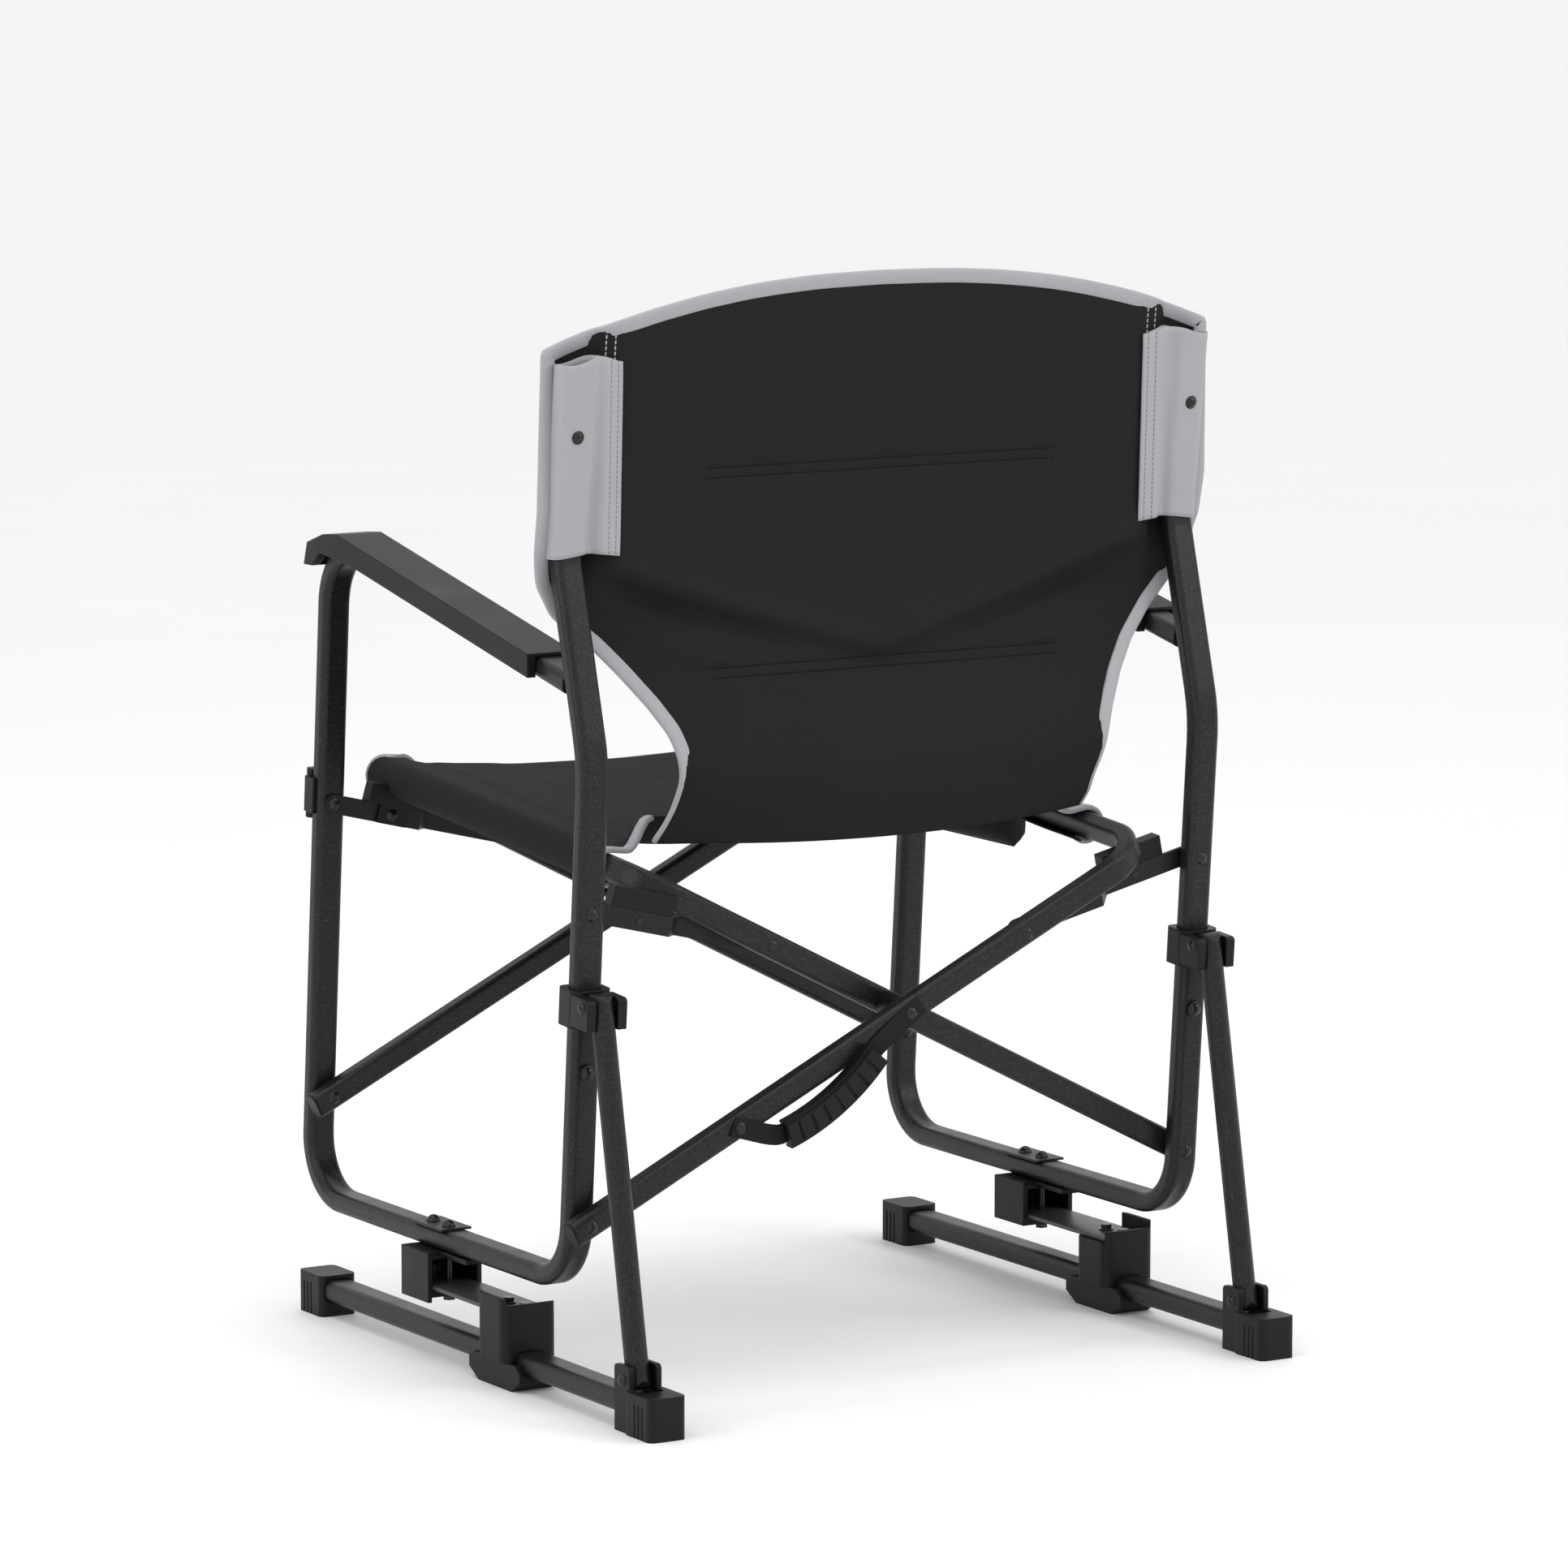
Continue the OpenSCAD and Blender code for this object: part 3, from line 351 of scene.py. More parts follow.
def shade(color, share):
    return tuple(c * share for c in color)


def post_dents(f, place):
    """Pressed hollows where the posts turn below the sleeves and into the bottom bar."""
    x, y, z = f.axes(place)
    out = 0.0
    for ty, tz, run_y, run_z in DENTS:
        away = (y - ty) * run_z - (z - tz) * run_y
        along = (y - ty) * run_y + (z - tz) * run_z
        side = x.math("ABSOLUTE") - 0.29
        bowl = (side * side) * (1 / 0.0062 ** 2) + (along * along) * (1 / 0.021 ** 2)
        near = 1 - f.step(away.math("ABSOLUTE"), 0.014, 0.020)
        out = (1 - f.step(bowl, 0.0, 1.0)) * near + out
    return out


def powder_coat(name, color, spark, rough, dents=None):
    """Baked powder paint: fine orange peel and metal flecks."""
    f = Finish(name)
    place = f.place()
    fleck = f.step(f.speck(place, 2600.0, 1.0), 0.66, 0.74)
    cloud = f.speck(place, 9.0, 3.0)
    base = f.tint(cloud, shade(color, 0.85), shade(color, 1.2))
    f.set(Base_Color=f.tint(fleck * spark, base, (0.42, 0.42, 0.45)))
    f.set(Metallic=fleck * 0.5)
    f.set(Roughness=f.speck(place, 60.0, 4.0) * 0.14 + (rough - 0.07))
    relief = f.speck(place, 1500.0, 3.0)
    if dents:
        relief = relief - dents(f, place) * 9.0
    f.bump(relief, 0.22, 0.0005, 0.0012)
    f.set(Specular_IOR_Level=0.26)
    return f.material


def moulded(name, color, rough):
    """Moulded plastic with a fine spark-eroded grain and rubbed patches."""
    f = Finish(name)
    place = f.place()
    worn = f.step(f.speck(place, 14.0, 5.0), 0.45, 0.75)
    f.set(Base_Color=f.tint(worn, color, shade(color, 1.5)), Specular_IOR_Level=0.22)
    f.set(Roughness=rough - worn * 0.09)
    f.bump(f.speck(place, 2100.0, 2.0), 0.22, 0.0003, 0.0022)
    return f.material


def blacked_steel(name, color, rough):
    """Black finished rivets and screws with faint turning marks."""
    f = Finish(name)
    place = f.place()
    scratch = f.speck(place, 420.0, 5.0, 0.7)
    f.set(Base_Color=f.tint(scratch, shade(color, 0.7), shade(color, 1.6)))
    f.set(Metallic=0.55)
    f.set(Roughness=scratch * 0.16 + rough)
    f.bump(scratch, 0.08, 0.0003, 0.0005)
    return f.material


def canvas(name, color, seams=None):
    """Coarse plain weave; seams(f, place) gives masks of thread and of puckers."""
    f = Finish(name)
    uv = f.along()
    place = f.place()
    u, v, _ = f.axes(uv)
    pitch = 2 * math.pi / 0.00115
    warp = (u * pitch).math("SINE")
    weft = (v * pitch).math("SINE")
    weave = warp * weft * 0.5 + 0.5
    slub = f.speck(uv, 900.0, 2.0)
    cloud = f.speck(place, 11.0, 4.0)
    tone = f.tint(weave * 0.55 + slub * 0.45, shade(color, 0.55), shade(color, 1.65))
    tone = f.tint(cloud * 0.35, tone, shade(color, 1.25))
    height = weave * 0.5 + slub * 0.5
    if seams:
        thread, pucker, *pale = seams(f, place)
        tone = f.tint(thread, tone, shade(color, 0.18))
        height = height + thread * 1.2 - pucker * 3.0
        for mark in pale:
            tone = f.tint(mark, tone, (0.42, 0.41, 0.43))
            height = height + mark * 1.5
    f.set(Base_Color=tone, Roughness=slub * 0.12 + 0.8)
    f.set(Specular_IOR_Level=0.14)
    f.bump(height, 0.6, 0.0005)
    return f.material


def twill(name, color, seams=None, slant=1.0):
    """Light twill with slanted ribs."""
    f = Finish(name)
    uv = f.along()
    place = f.place()
    u, v, _ = f.axes(uv)
    rib = ((u + v * slant) * (2 * math.pi / 0.0016)).math("SINE") * 0.5 + 0.5
    yarn = f.speck(uv, 1300.0, 2.0)
    soil = f.step(f.speck(place, 16.0, 5.0), 0.42, 0.8)
    tone = f.tint(rib * 0.6 + yarn * 0.4, shade(color, 0.84), shade(color, 1.08))
    tone = f.tint(soil * 0.22, tone, shade(color, 0.8))
    height = rib * 0.7 + yarn * 0.3
    if seams:
        thread, pucker = seams(f, place)
        tone = f.tint(thread, tone, shade(color, 0.45))
        height = height - thread - pucker * 2.5
    f.set(Base_Color=tone, Roughness=0.82, Sheen_Weight=0.15, Specular_IOR_Level=0.3)
    f.bump(height, 0.45, 0.0004)
    return f.material


def webbing(name, color):
    """Woven strap with ribs across it."""
    f = Finish(name)
    u, v, _ = f.axes(f.along())
    rib = (u * (2 * math.pi / 0.0022)).math("SINE") * 0.5 + 0.5
    yarn = (v * (2 * math.pi / 0.0016)).math("SINE") * 0.5 + 0.5
    f.set(Base_Color=f.tint(rib * yarn, shade(color, 0.5), shade(color, 1.6)))
    f.set(Roughness=0.75, Specular_IOR_Level=0.2)
    f.bump(rib * 0.6 + yarn * 0.4, 0.5, 0.0005)
    return f.material


def spring_laminate(name, color):
    """Dark spring leaf with a lengthwise brushed grain."""
    f = Finish(name)
    place = f.place()
    stretch = {"Vector": place, "Scale": (60.0, 4.0, 60.0)}
    grain = f.speck(f.node("ShaderNodeMapping", None, stretch), 20.0, 5.0, 0.65)
    f.set(Base_Color=f.tint(grain, shade(color, 0.7), shade(color, 1.4)))
    f.set(Metallic=0.35, Roughness=grain * 0.2 + 0.3)
    f.bump(grain, 0.12, 0.0004)
    return f.material


def line_mask(f, value, at, half):
    """1 within half of a place, in metres."""
    gap = (value - at).math("ABSOLUTE")
    return 1 - f.step(gap, half * 0.6, half * 1.3)


def dashes(f, value, pitch):
    """Stitches along a seam."""
    return f.step((value * (2 * math.pi / pitch)).math("SINE"), -0.75, -0.2)


def back_seams(f, place):
    """Double rows of stitching across the back."""
    x, _, z = f.axes(place)
    stitch = dashes(f, x, 0.0042)
    reach = 1 - f.step(x.math("ABSOLUTE"), 0.164, 0.166)
    rows = 0.0
    pucker = 0.0
    for height in (0.7465, 0.7385, 0.5865, 0.5785):
        rows = line_mask(f, z, height, 0.0006) + rows
        pucker = line_mask(f, z, height, 0.0022) + pucker
    side = x.math("ABSOLUTE")
    pale = line_mask(f, side, 0.2515, 0.0006) + line_mask(f, side, 0.2595, 0.0006)
    pale = pale * f.step(z, 0.836, 0.838) * dashes(f, z, 0.0045)
    return rows * reach * stitch, pucker * reach * 0.5, pale


def sleeve_seams(f, place):
    """Two rows of stitching down the inner hem of a sleeve."""
    x, _, z = f.axes(place)
    side = x.math("ABSOLUTE")
    stitch = dashes(f, z, 0.0040)
    rows = line_mask(f, side, 0.2505, 0.0005) + line_mask(f, side, 0.2575, 0.0005)
    pucker = line_mask(f, side, 0.2505, 0.0016) + line_mask(f, side, 0.2575, 0.0016)
    return rows * stitch, pucker * 0.5


def seat_seams(f, place):
    """Two rows of stitching inside each rail sleeve."""
    x, y, _ = f.axes(place)
    side = x.math("ABSOLUTE")
    stitch = dashes(f, y, 0.0042)
    rows = line_mask(f, side, 0.199, 0.0006) + line_mask(f, side, 0.191, 0.0006)
    pucker = line_mask(f, side, 0.199, 0.002) + line_mask(f, side, 0.191, 0.002)
    return rows * stitch, pucker * 0.5


FINISHES = {}


class Settings(bpy.types.PropertyGroup):
    """Colours and cloth sizes that a maker would change."""

    frame_color: bpy.props.FloatVectorProperty(
        name="Frame colour", description="Powder paint of the tubes", subtype="COLOR",
        default=(0.006, 0.006, 0.008), min=0, max=1)
    plastic_color: bpy.props.FloatVectorProperty(
        name="Plastic colour", description="Moulded parts", subtype="COLOR",
        default=(0.0035, 0.0035, 0.0038), min=0, max=1)
    cloth_color: bpy.props.FloatVectorProperty(
        name="Cloth colour", description="Seat and back canvas", subtype="COLOR",
        default=(0.0125, 0.0118, 0.0118), min=0, max=1)
    trim_color: bpy.props.FloatVectorProperty(
        name="Trim colour", description="Edge tape and post sleeves", subtype="COLOR",
        default=(0.35, 0.35, 0.372), min=0, max=1)
    cloth_thickness: bpy.props.FloatProperty(
        name="Cloth thickness", description="Thickness of the canvas, in millimetres",
        default=1.6, min=0.5, max=4)
    seat_sag: bpy.props.FloatProperty(
        name="Seat sag", description="Dip of the seat between its rails, in millimetres",
        default=15.0, min=0, max=40)


def settings():
    return bpy.context.scene.rocking_chair


class ChairOperator(bpy.types.Operator):
    """Common ground of the chair's operators."""

    bl_options = {"REGISTER", "UNDO"}

    def execute(self, context):
        self.make(settings())
        return {"FINISHED"}


class MixFinishes(ChairOperator):
    """Mixes the paints, plastics and cloths"""

    bl_idname = "rocker.finishes"
    bl_label = "Mix finishes"

    def make(self, s):
        paint, plastic = tuple(s.frame_color), tuple(s.plastic_color)
        black, grey = tuple(s.cloth_color), tuple(s.trim_color)
        FINISHES.update({
            "frame_tube": powder_coat("frame powder coat", paint, 0.5, 0.36, post_dents),
            "link_steel": powder_coat("link paint", shade(paint, 0.8), 0.2, 0.42),
            "black_plastic": moulded("black moulding", plastic, 0.46),
            "black_fasteners": blacked_steel("blacked rivets", (0.016, 0.016, 0.017), 0.16),
            "spring_steel": spring_laminate("spring leaf", (0.05, 0.05, 0.053)),
            "black_canvas": canvas("black canvas", black),
            "back_canvas": canvas("back canvas", black, back_seams),
            "seat_canvas": canvas("seat canvas", black, seat_seams),
            "grey_twill": twill("grey edge tape", grey, slant=0.9),
            "sleeve_twill": twill("grey sleeve", grey, sleeve_seams),
            "black_webbing": webbing("black webbing", shade(black, 0.9)),
        })


class PaintFrame(ChairOperator):
    """Gives every metal and moulded part its finish"""

    bl_idname = "rocker.paint_frame"
    bl_label = "Paint frame"

    def make(self, s):
        wanted = {p["node"]: p["material_slot"] for p in frame["record"]["subparts"]}
        for node, part in frame["nodes"].items():
            part.data.materials.clear()
            part.data.materials.append(FINISHES[wanted[node]])


# ---------- back ----------

# Height, half width and place behind the middle of the back's taped side edges
BACK_OUTLINE = [(447, 203.6, 137), (460, 202.8, 150.5), (475, 200.5, 161), (490, 200.8, 171),
                (500, 201.6, 176.5), (510, 203.4, 178.5), (522, 206.5, 178),
                (540, 212.4, 173.7), (560, 223.5, 163.7),
                (585, 242.2, 151.6), (610, 265.5, 143), (635, 295.6, 134), (660, 309, 138),
                (685, 314, 144), (720, 314.9, 149.5), (780, 313.9, 152), (860, 312.9, 154)]
# Height and place behind the middle of the back along its middle
BACK_MIDDLE = [(440, 163), (447, 168), (475, 182), (505, 186), (540, 177), (582, 159),
               (610, 153), (640, 149.5), (680, 146), (740, 151), (840, 160), (900, 165)]
BACK_LOW, BACK_SIDE_TOP, BACK_TOP = 447.0, 846.0, 898.0
PANEL_OUT = -13.8
HEM_X, HEM_LOW_OUT, HEM_TOP_OUT = 247.0, 11.0, -2.0
CREASE_LOW, CREASE_RISE = 590.0, 78.0
# Heights of the two rows across the back, and half their length
BACK_SEAMS, SEAM_REACH = (743.0, 582.0), 175.0


def back_table(rows, column, z):
    return float(np.interp(z, [row[0] for row in rows], [row[column] for row in rows]))


def hem_out(z):
    """How far behind the posts' middle the inner hems of the sleeves lie."""
    return np.interp(z, (683.0, 839.0), (HEM_LOW_OUT, HEM_TOP_OUT))


def back_depth(x, z):
    """Place of the back behind the middle at a point across and up."""
    reach = abs(x)
    edge_x, edge_y = back_table(BACK_OUTLINE, 1, z), back_table(BACK_OUTLINE, 2, z)
    middle = back_table(BACK_MIDDLE, 1, z)
    free = middle + (edge_y - middle) * (reach / edge_x) ** 2
    post_line = WAIST[0] + (z - WAIST[1]) * math.tan(BACK_LEAN)
    hem = post_line + hem_out(z)
    held_at = ((0, middle), (120, middle * 0.9 + hem * 0.1),
               (200, middle * 0.4 + hem * 0.6), (HEM_X - 5, hem - 2.6),
               (HEM_X + 3, hem - 3.6), (262, (hem + post_line) / 2 - 6),
               (272, post_line + PANEL_OUT), (304, post_line + PANEL_OUT), (315, edge_y))
    held = float(np.interp(reach, [p[0] for p in held_at], [p[1] for p in held_at]))
    return free + (held - free) * smooth(638.0, 692.0, z)


def back_point(side, rise):
    """A point of the back from -1..1 across and 0..1 up."""
    z = BACK_LOW + (BACK_SIDE_TOP - BACK_LOW) * rise
    x = side * back_table(BACK_OUTLINE, 1, z)
    crown = (BACK_TOP - BACK_SIDE_TOP) * (1 - abs(side) ** 2.35)
    z = z + crown * smooth(0.35, 1.0, rise)
    z -= 7.0 * (1 - side * side) * smooth(0.12, 0.0, rise)
    inside = (1 - abs(side) ** 6) * smooth(1.0, 0.93, rise) * smooth(0.0, 0.1, rise)
    y = back_depth(x, z)
    d = z - (CREASE_LOW + CREASE_RISE * (abs(x - 4.0) / 262.0) ** 1.12)
    hold = smooth(275.0, 225.0, abs(x)) * (0.5 + 0.5 * smooth(50.0, 200.0, abs(x)))
    fold = math.exp(-((d - 10.0) / 13.0) ** 2) * 10.5 - math.exp(-((d + 6.0) / 8.0) ** 2) * 8.5
    second = math.exp(-((d + 38.0) / 11.0) ** 2) * 4.5 * smooth(70.0, 150.0, abs(x))
    out = inside * hold * (fold + second)
    out += inside * (1.5 * ripple(x, z * 0.6, 70.0, 2.0) + 0.6 * ripple(x, z, 26.0, 5.0))
    for seam in BACK_SEAMS:
        near = math.exp(-((z - seam) / 7.0) ** 2)
        near *= smooth(SEAM_REACH, SEAM_REACH - 25.0, abs(x))
        out -= inside * near * (1.6 + 0.5 * ripple(x, z, 12.0, 9.0))
    wave = 2.0 * math.exp(-((z - 525.0) / 22.0) ** 2) * (1 - inside)
    return np.array([x - math.copysign(wave, x), y + out, z])


def back_edge():
    """The back's taped edge, from the left bottom corner over the top to the right."""
    rise = np.linspace(0.0, 1.0, 80)
    across = np.linspace(1.0, -1.0, 110)[1:-1]
    left = [back_point(1.0, t) for t in rise]
    top = [back_point(s, 1.0) for s in across]
    right = [back_point(-1.0, t) for t in rise[::-1]]
    return smooth_path(np.array(left + top + right), 2)


class SewBack(ChairOperator):
    """Sews the back panel and its edge tape, and hangs it between the posts"""

    bl_idname = "rocker.back"
    bl_label = "Sew back"

    def make(self, s):
        reach = math.pi / 2 * 0.92
        across = np.sin(np.linspace(-1, 1, 141) * reach) / math.sin(reach)
        up = np.linspace(0, 1, 131)
        points = np.array([[back_point(a, b) for b in up] for a in across])
        panel = cloth("back_panel", points, (0.62, 0.45), s.cloth_thickness,
                      finish=FINISHES["back_canvas"])
        middle = upright(0.0, PANEL_OUT, 690.0)
        tape = edge_tape("back_edge_tape", back_edge(), lambda p: middle - p,
                         FINISHES["grey_twill"])
        for piece, slot in ((panel, "black_canvas"), (tape, "grey_twill")):
            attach(piece, "left_frame")
            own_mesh(piece)
        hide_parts("backrest")
        declare_sheet(points)


# ---------- post sleeves ----------

SLEEVE_LOOP = [(-43.5, -9.6), (-38, -9.3), (-30, -8.0), (-23, -3.6), (-17.5, 2.6),
               (-14.2, 7.4), (-10.5, 10.0), (-4, 10.7), (4, 10.6), (10.5, 10.0),
               (14.0, 7.0), (15.1, 2.0), (15.2, -4.0), (14.0, -8.2), (10.0, -10.6),
               (0.0, -11.3), (-14, -11.6), (-30, -11.7), (-43.5, -11.4)]
SLEEVE_LOW, SLEEVE_TOP = 683.0, 839.0


class SewSleeves(ChairOperator):
    """Sews the light sleeves that hold the back on its posts"""

    bl_idname = "rocker.sleeves"
    bl_label = "Sew sleeves"

    def make(self, s):
        for side, name in ((1, "left"), (-1, "right")):
            loop = np.array([(x, out, 0.0) for x, out in SLEEVE_LOOP + SLEEVE_LOOP[:1]])
            loop, length = even_path(smooth_path(loop, 2), 1.6)
            loop[-1] = loop[0]
            grid = []
            for x, out, _ in loop:
                line = []
                for z in np.linspace(SLEEVE_LOW, SLEEVE_TOP, 40):
                    top = smooth(SLEEVE_TOP - 14, SLEEVE_TOP, z)
                    low = smooth(SLEEVE_LOW + 14, SLEEVE_LOW, z)
                    drop = 3.0 * top * math.sin(x * 0.11 + 0.6) + 1.6 * low * math.sin(x * 0.09)
                    flap = smooth(-14.0, -31.0, x) * (hem_out(z) + 10.5)
                    slack = 0.35 * ripple(x + side * 40, z, 21.0, 4.0) + 0.5 * low + 0.4 * top
                    tuck = slack if out > 0 else -slack * 0.4
                    line.append(upright(side * (POST_X + x), out + tuck + flap, z - drop))
                grid.append(line)
            points = np.array(grid)
            piece = cloth(f"{name}_post_sleeve", points, (length * MM, 0.155), 1.1, ring=True,
                          finish=FINISHES["sleeve_twill"])
            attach(piece, f"{name}_frame")
            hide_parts(f"{name}_back_sleeve")
            declare_sheet(points)


# ---------- seat ----------

SEAT_REAR, SEAT_FRONT = -73.0, -459.0
ROLL = 14.5


def seat_profile(sag):
    """Cross-section of the seat as across and up, from one rail's hem to the other's."""
    turn = np.radians(np.linspace(232, 450, 26))
    left = [(RAIL_X + ROLL * math.cos(a), RAIL_H + ROLL * math.sin(a)) for a in turn]
    span = np.linspace(RAIL_X - 4, 0, 46)[1:]
    dip = [(x, RAIL_H + ROLL - sag * (1 - (x / (RAIL_X - 4)) ** 2) ** 0.85) for x in span]
    half = left + dip
    return half + [(-x, w) for x, w in half[-2::-1]]


def seat_points(sag):
    profile = seat_profile(sag)
    along = np.concatenate([np.linspace(SEAT_FRONT, SEAT_FRONT + 20, 8),
                            np.linspace(SEAT_FRONT + 26, -118, 60),
                            np.linspace(-114, SEAT_REAR, 20)])
    grid = []
    for x, w in profile:
        line = []
        for v in along:
            lift = smooth(-116, -80, v) * smooth(212, 186, abs(x)) * (w > RAIL_H - 8)
            roll = smooth(205, 222, abs(x))
            down = smooth(SEAT_FRONT + 24, SEAT_FRONT, v) * (1 - roll)
            rise = 27.0 * lift - 5.0 * down * down
            slack = 0.9 * ripple(x, v, 60.0, 1.0) + 0.4 * ripple(x, v, 19.0, 6.0)
            tuck = -0.9 * math.exp(-((abs(x) - 195) / 8.0) ** 2)
            back = v if v < -118 else v - 9.0 * lift
            line.append(upper(x, back, w + rise + slack * (1 - roll * 0.5) + tuck))
        grid.append(line)
    return np.array(grid)


class SewSeat(ChairOperator):
    """Sews the seat round its two rails"""

    bl_idname = "rocker.seat"
    bl_label = "Sew seat"

    def make(self, s):
        points = seat_points(s.seat_sag)
        seat = cloth("seat_sling", points, (0.66, 0.386), s.cloth_thickness,
                     finish=FINISHES["seat_canvas"])
        inside = upper(0, -260, RAIL_H)
        front = edge_tape("seat_front_tape", points[2:-2, 0], lambda p: inside - p,
                          FINISHES["grey_twill"])
        pieces = [seat, front]
        for side, name in ((slice(2, 34), "left"), (slice(-34, -2), "right")):
            pieces.append(edge_tape(f"{name}_roll_tape", points[side, -1],
                                    lambda p: upper(p[0], -260, RAIL_H) - p,
                                    FINISHES["grey_twill"], step=2.5))
        for piece in pieces:
            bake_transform(piece)
        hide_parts("seat")
        declare_sheet(points)


# ---------- side pocket ----------

# Thickness and width of a strap, and how far it tucks under the arm, in millimetres
POCKET_STRAP, STRAP_WIDE, STRAP_TUCK = 1.6, 18.0, 3.5


class SewPocket(ChairOperator):
    """Sews the pocket that hangs beside the right arm"""

    bl_idname = "rocker.pocket"
    bl_label = "Sew pocket"

    def make(self, s):
        low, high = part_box("side_pocket")
        low, high = np.array(low) / MM, np.array(high) / MM
        mid = (low + high) / 2
        half = (high - low) / 2 - 1.0
        grid = []
        for a in np.linspace(0, 2 * math.pi, 97):
            line = []
            for t in np.linspace(0, 1, 40):
                shrink = math.sqrt(smooth(-0.002, 0.06, t)) if t < 0.06 else 1.0
                belly = 1 - 0.42 * smooth(0.45, 1.0, t)
                ca, sa = math.cos(a), math.sin(a)
                x = mid[0] + half[0] * belly * shrink * np.sign(ca) * abs(ca) ** 0.8
                y = mid[1] + half[1] * (0.9 + 0.1 * shrink) * np.sign(sa) * abs(sa) ** 0.45
                z = low[2] + 1 + (high[2] - low[2] - 2 - 7 * (1 - ca * ca)) * t
                wave = 0.8 * ripple(y, z, 24.0, 7.0) * (1 if x > mid[0] else -1)
                line.append(np.array([x + wave, y, z]))
            grid.append(line)
        points = np.array(grid)
        points[:, 0, 0] = mid[0]
        pocket = cloth("arm_pocket", points, (0.33, 0.22), 1.4, ring=True,
                       finish=FINISHES["black_canvas"])
        rim = edge_tape("pocket_rim_tape", points[:, -1], lambda p: np.array([0.0, 0.0, -1.0]),
                        FINISHES["black_webbing"], step=3.0)
        for piece in (pocket, rim):
            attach(piece, "right_frame")
        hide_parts("side_pocket")
        declare_sheet(points)
        self.hang(points)

    def hang(self, wall):
        """Sews the two straps from the pocket's outer wall up to the arm."""
        corners = [v.co for v in frame["nodes"]["pocket_straps"].data.vertices]
        corners = np.array(corners) / MM
        middle = (corners[:, 1].min() + corners[:, 1].max()) / 2
        for name, own in (("front", corners[:, 1] < middle), ("rear", corners[:, 1] > middle)):
            ends = corners[own]
            low, high = ends.min(0), ends.max(0)
            tops = [ends[abs(ends[:, 1] - y) < 0.5, 2].max() for y in (low[1], high[1])]
            beside = abs(wall[..., 1] - (low[1] + high[1]) / 2) < 12
            sewn_x = wall[beside & (wall[..., 2] > low[2] - 4), 0].min() - 1.7
            grid = []
            for y in np.linspace(low[1], high[1], 7):
                top = np.interp(y, (low[1], high[1]), tops) + STRAP_TUCK
                line = []
                for t in np.linspace(0, 1, 24):
                    z = low[2] + (top - low[2]) * t
                    x = sewn_x + ((low[0] + high[0]) / 2 - sewn_x) * smooth(0.2, 0.9, t)
                    line.append(np.array([x - 0.3 * math.sin(t * 5.0), y, z]))
                grid.append(line)
            strap = cloth(f"pocket_strap_{name}", np.array(grid),
                          (STRAP_WIDE * MM, (high[2] - low[2]) * MM), POCKET_STRAP,
                          finish=FINISHES["black_webbing"])
            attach(strap, "right_frame")
            if name == "front":
                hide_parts("pocket_straps")


# ---------- carrying strap ----------

STRAP_ENDS = ((0.0, CROSS_H), (157.0, CROSS_H * (1 - 157.0 / POST_X)))
GRIP_ENDS = ((31.0, 125.0), (123.0, 58.0))
GRIP_BOW = 9.0


class SewStrap(ChairOperator):
    """Runs the carrying strap between its two rivets, through the grip"""

    bl_idname = "rocker.strap"
    bl_label = "Sew carrying strap"

    def make(self, s):
        near, far = (np.array(p) for p in GRIP_ENDS)
        start, end = (np.array(p) for p in STRAP_ENDS)
        down = np.array([near[1] - far[1], near[0] - far[0]]) / np.linalg.norm(far - near)
        bow = [near + (far - near) * t - np.abs(down) * GRIP_BOW * (1 - (2 * t - 1) ** 2)
               for t in np.linspace(0, 1, 12)]
        knots = [start + (start - near) * 0.3, start, *bow, end, end + (end - far) * 0.22]
        line = smooth_path(np.array([(x, 0.0, w) for x, w in knots]), 2)
        line, length = even_path(line, 2.5)
        way = np.gradient(line, axis=0)
        way /= np.linalg.norm(way, axis=1)[:, None]
        grid = []
        for t in np.linspace(-1, 1, 13):
            row = []
            for p, d in zip(line, way):
                across = np.array([d[2], 0, -d[0]]) * t * 8.4
                out = LEG_BACK + 1.15 + 0.12 * math.sin(p[0] * 0.3)
                q = p + across
                row.append(upper(q[0], out, q[2]))
            grid.append(row)
        points = np.array(grid)
        strap = cloth("carry_webbing", points, (0.017, length * MM), 1.7,
                      finish=FINISHES["black_webbing"])
        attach(strap, "cross_b")
        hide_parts("carry_strap")


# ---------- springs ----------


class FitSprings(ChairOperator):
    """Fits the leaf springs between the base rails and the side frames"""

    bl_idname = "rocker.springs"
    bl_label = "Fit springs"

    def make(self, s):
        for name in ("left", "right"):
            low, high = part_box(f"{name}_spring_leaf")
            size, mid = high - low, (low + high) / 2
            deselect()
            bpy.ops.mesh.primitive_cube_add(size=1, location=mid)
            leaf = bpy.context.object
            leaf.scale = size
            leaf.name = leaf.data.name = f"{name}_leaf"
            bpy.ops.object.transform_apply(location=True, rotation=True, scale=True)
            apply_modifier(leaf, "BEVEL", width=0.0009, segments=3)
            bpy.ops.object.mode_set(mode="EDIT")
            for y in np.linspace(low.y + 0.004, high.y - 0.004, 30):
                bpy.ops.mesh.select_all(action="SELECT")
                bpy.ops.mesh.bisect(plane_co=(0, y, 0), plane_no=(0, 1, 0))
            bpy.ops.object.mode_set(mode="OBJECT")
            bpy.ops.object.shade_smooth_by_angle(angle=math.radians(35))
            leaf.data.materials.append(FINISHES["spring_steel"])
            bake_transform(leaf)
            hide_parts(f"{name}_spring_leaf")


# ---------- stage ----------

CAMERA_AT = (3.2983, 5.4707, 1.3769)
CAMERA_YAW, CAMERA_PITCH = math.radians(31.09), math.radians(8.15)
CAMERA_LENS = 178.9


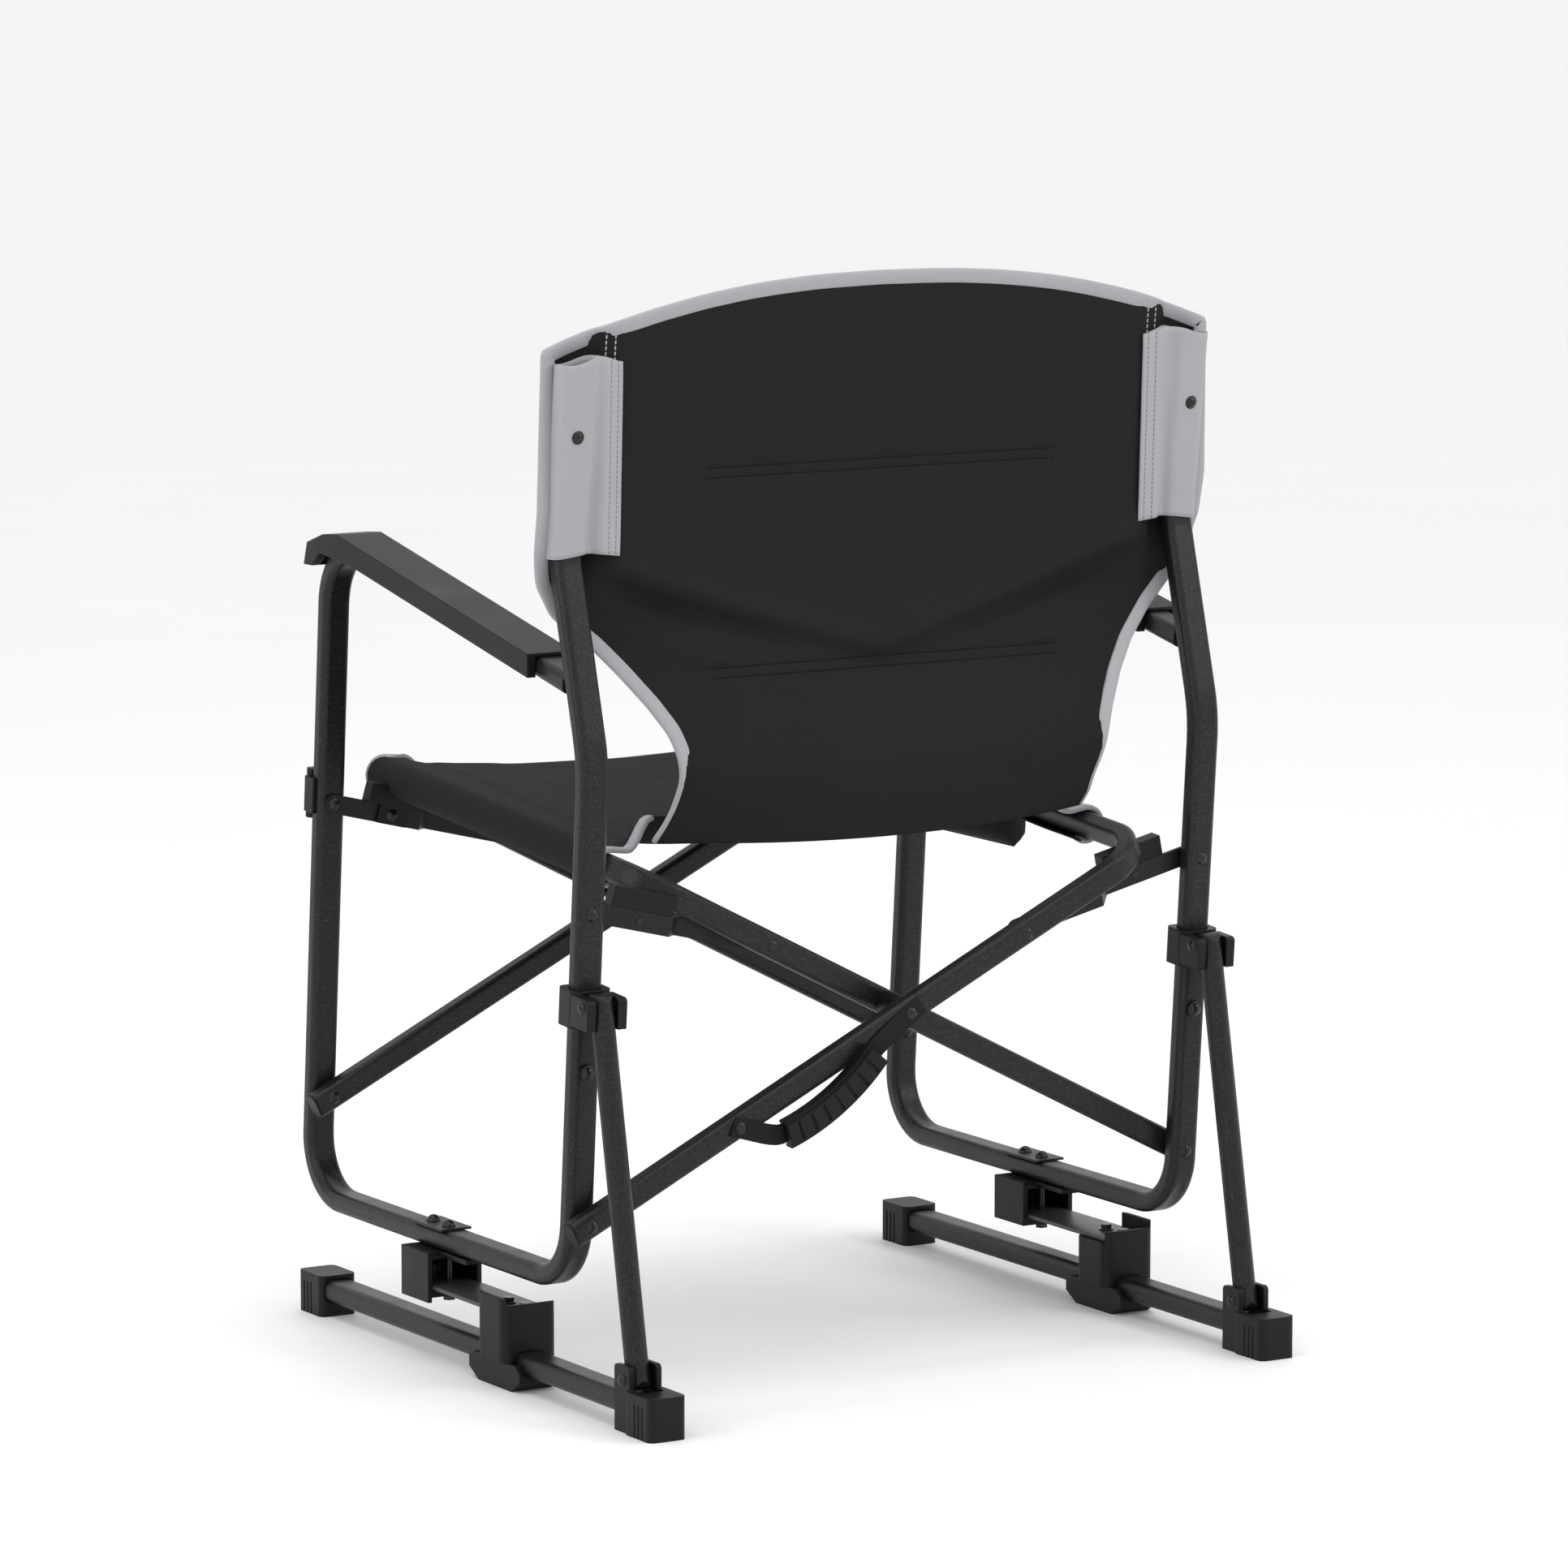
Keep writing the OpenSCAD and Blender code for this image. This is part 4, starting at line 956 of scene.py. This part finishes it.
class SetStage(ChairOperator):
    """Lays the floor, hangs the soft lights and places the camera"""

    bl_idname = "rocker.stage"
    bl_label = "Set stage"

    def make(self, s):
        deselect()
        bpy.ops.mesh.primitive_plane_add(size=400, location=(0, 0, 0))
        floor = bpy.context.object
        floor.name = "pale_floor"
        paint = Finish("pale floor")
        cloud = paint.speck(paint.place(), 3.0, 3.0)
        paint.set(Base_Color=paint.tint(cloud, (0.86, 0.86, 0.865), (0.89, 0.89, 0.895)))
        paint.set(Roughness=0.6)
        floor.data.materials.append(paint.material)
        world = bpy.data.worlds.new("soft white room")
        world.use_nodes = True
        sky = world.node_tree.nodes["Background"]
        sky.inputs["Color"].default_value = (1, 1, 1, 1)
        sky.inputs["Strength"].default_value = 1.02
        bpy.context.scene.world = world
        lamps = (("overhead light", (0.3, 0.4, 3.2), 2.6, 34),
                 ("key light", (-2.2, 2.6, 2.6), 1.2, 26),
                 ("side light", (3.2, 0.4, 1.6), 1.0, 16))
        for name, at, size, power in lamps:
            bpy.ops.object.light_add(type="AREA", location=at)
            lamp = bpy.context.object
            lamp.name = lamp.data.name = name
            lamp.data.size = size
            lamp.data.energy = power
            aim = Vector((0, 0, 0.45)) - Vector(at)
            lamp.rotation_euler = aim.to_track_quat("-Z", "Y").to_euler()
        bpy.ops.object.camera_add(location=CAMERA_AT)
        camera = bpy.context.object
        camera.name = camera.data.name = "camera"
        level = math.cos(CAMERA_PITCH)
        look = Vector((-math.sin(CAMERA_YAW) * level, -math.cos(CAMERA_YAW) * level,
                       -math.sin(CAMERA_PITCH)))
        camera.rotation_euler = look.to_track_quat("-Z", "Y").to_euler()
        camera.data.lens = CAMERA_LENS
        camera.data.clip_end = 100
        bpy.context.scene.camera = camera
        bpy.context.scene.view_settings.view_transform = "Standard"


OPERATORS = (MixFinishes, PaintFrame, SewBack, SewSleeves, SewSeat, SewPocket, SewStrap,
             FitSprings, SetStage)


class ChairPanel(bpy.types.Panel):
    """Lists the chair's settings and steps"""

    bl_idname = "VIEW3D_PT_rocking_chair"
    bl_label = "Rocking chair"
    bl_space_type = "VIEW_3D"
    bl_region_type = "UI"
    bl_category = "Rocking chair"

    def draw(self, context):
        for name in Settings.__annotations__:
            self.layout.prop(context.scene.rocking_chair, name)
        for step in OPERATORS:
            self.layout.operator(step.bl_idname)


def register():
    for kind in (Settings, *OPERATORS, ChairPanel):
        bpy.utils.register_class(kind)
    bpy.types.Scene.rocking_chair = bpy.props.PointerProperty(type=Settings)


def unregister():
    del bpy.types.Scene.rocking_chair
    for kind in reversed((Settings, *OPERATORS, ChairPanel)):
        bpy.utils.unregister_class(kind)


def main():
    register()
    for step in OPERATORS:
        group, name = step.bl_idname.split(".")
        getattr(getattr(bpy.ops, group), name)()
    bpy.context.view_layer.update()


if __name__ == "__main__":
    main()
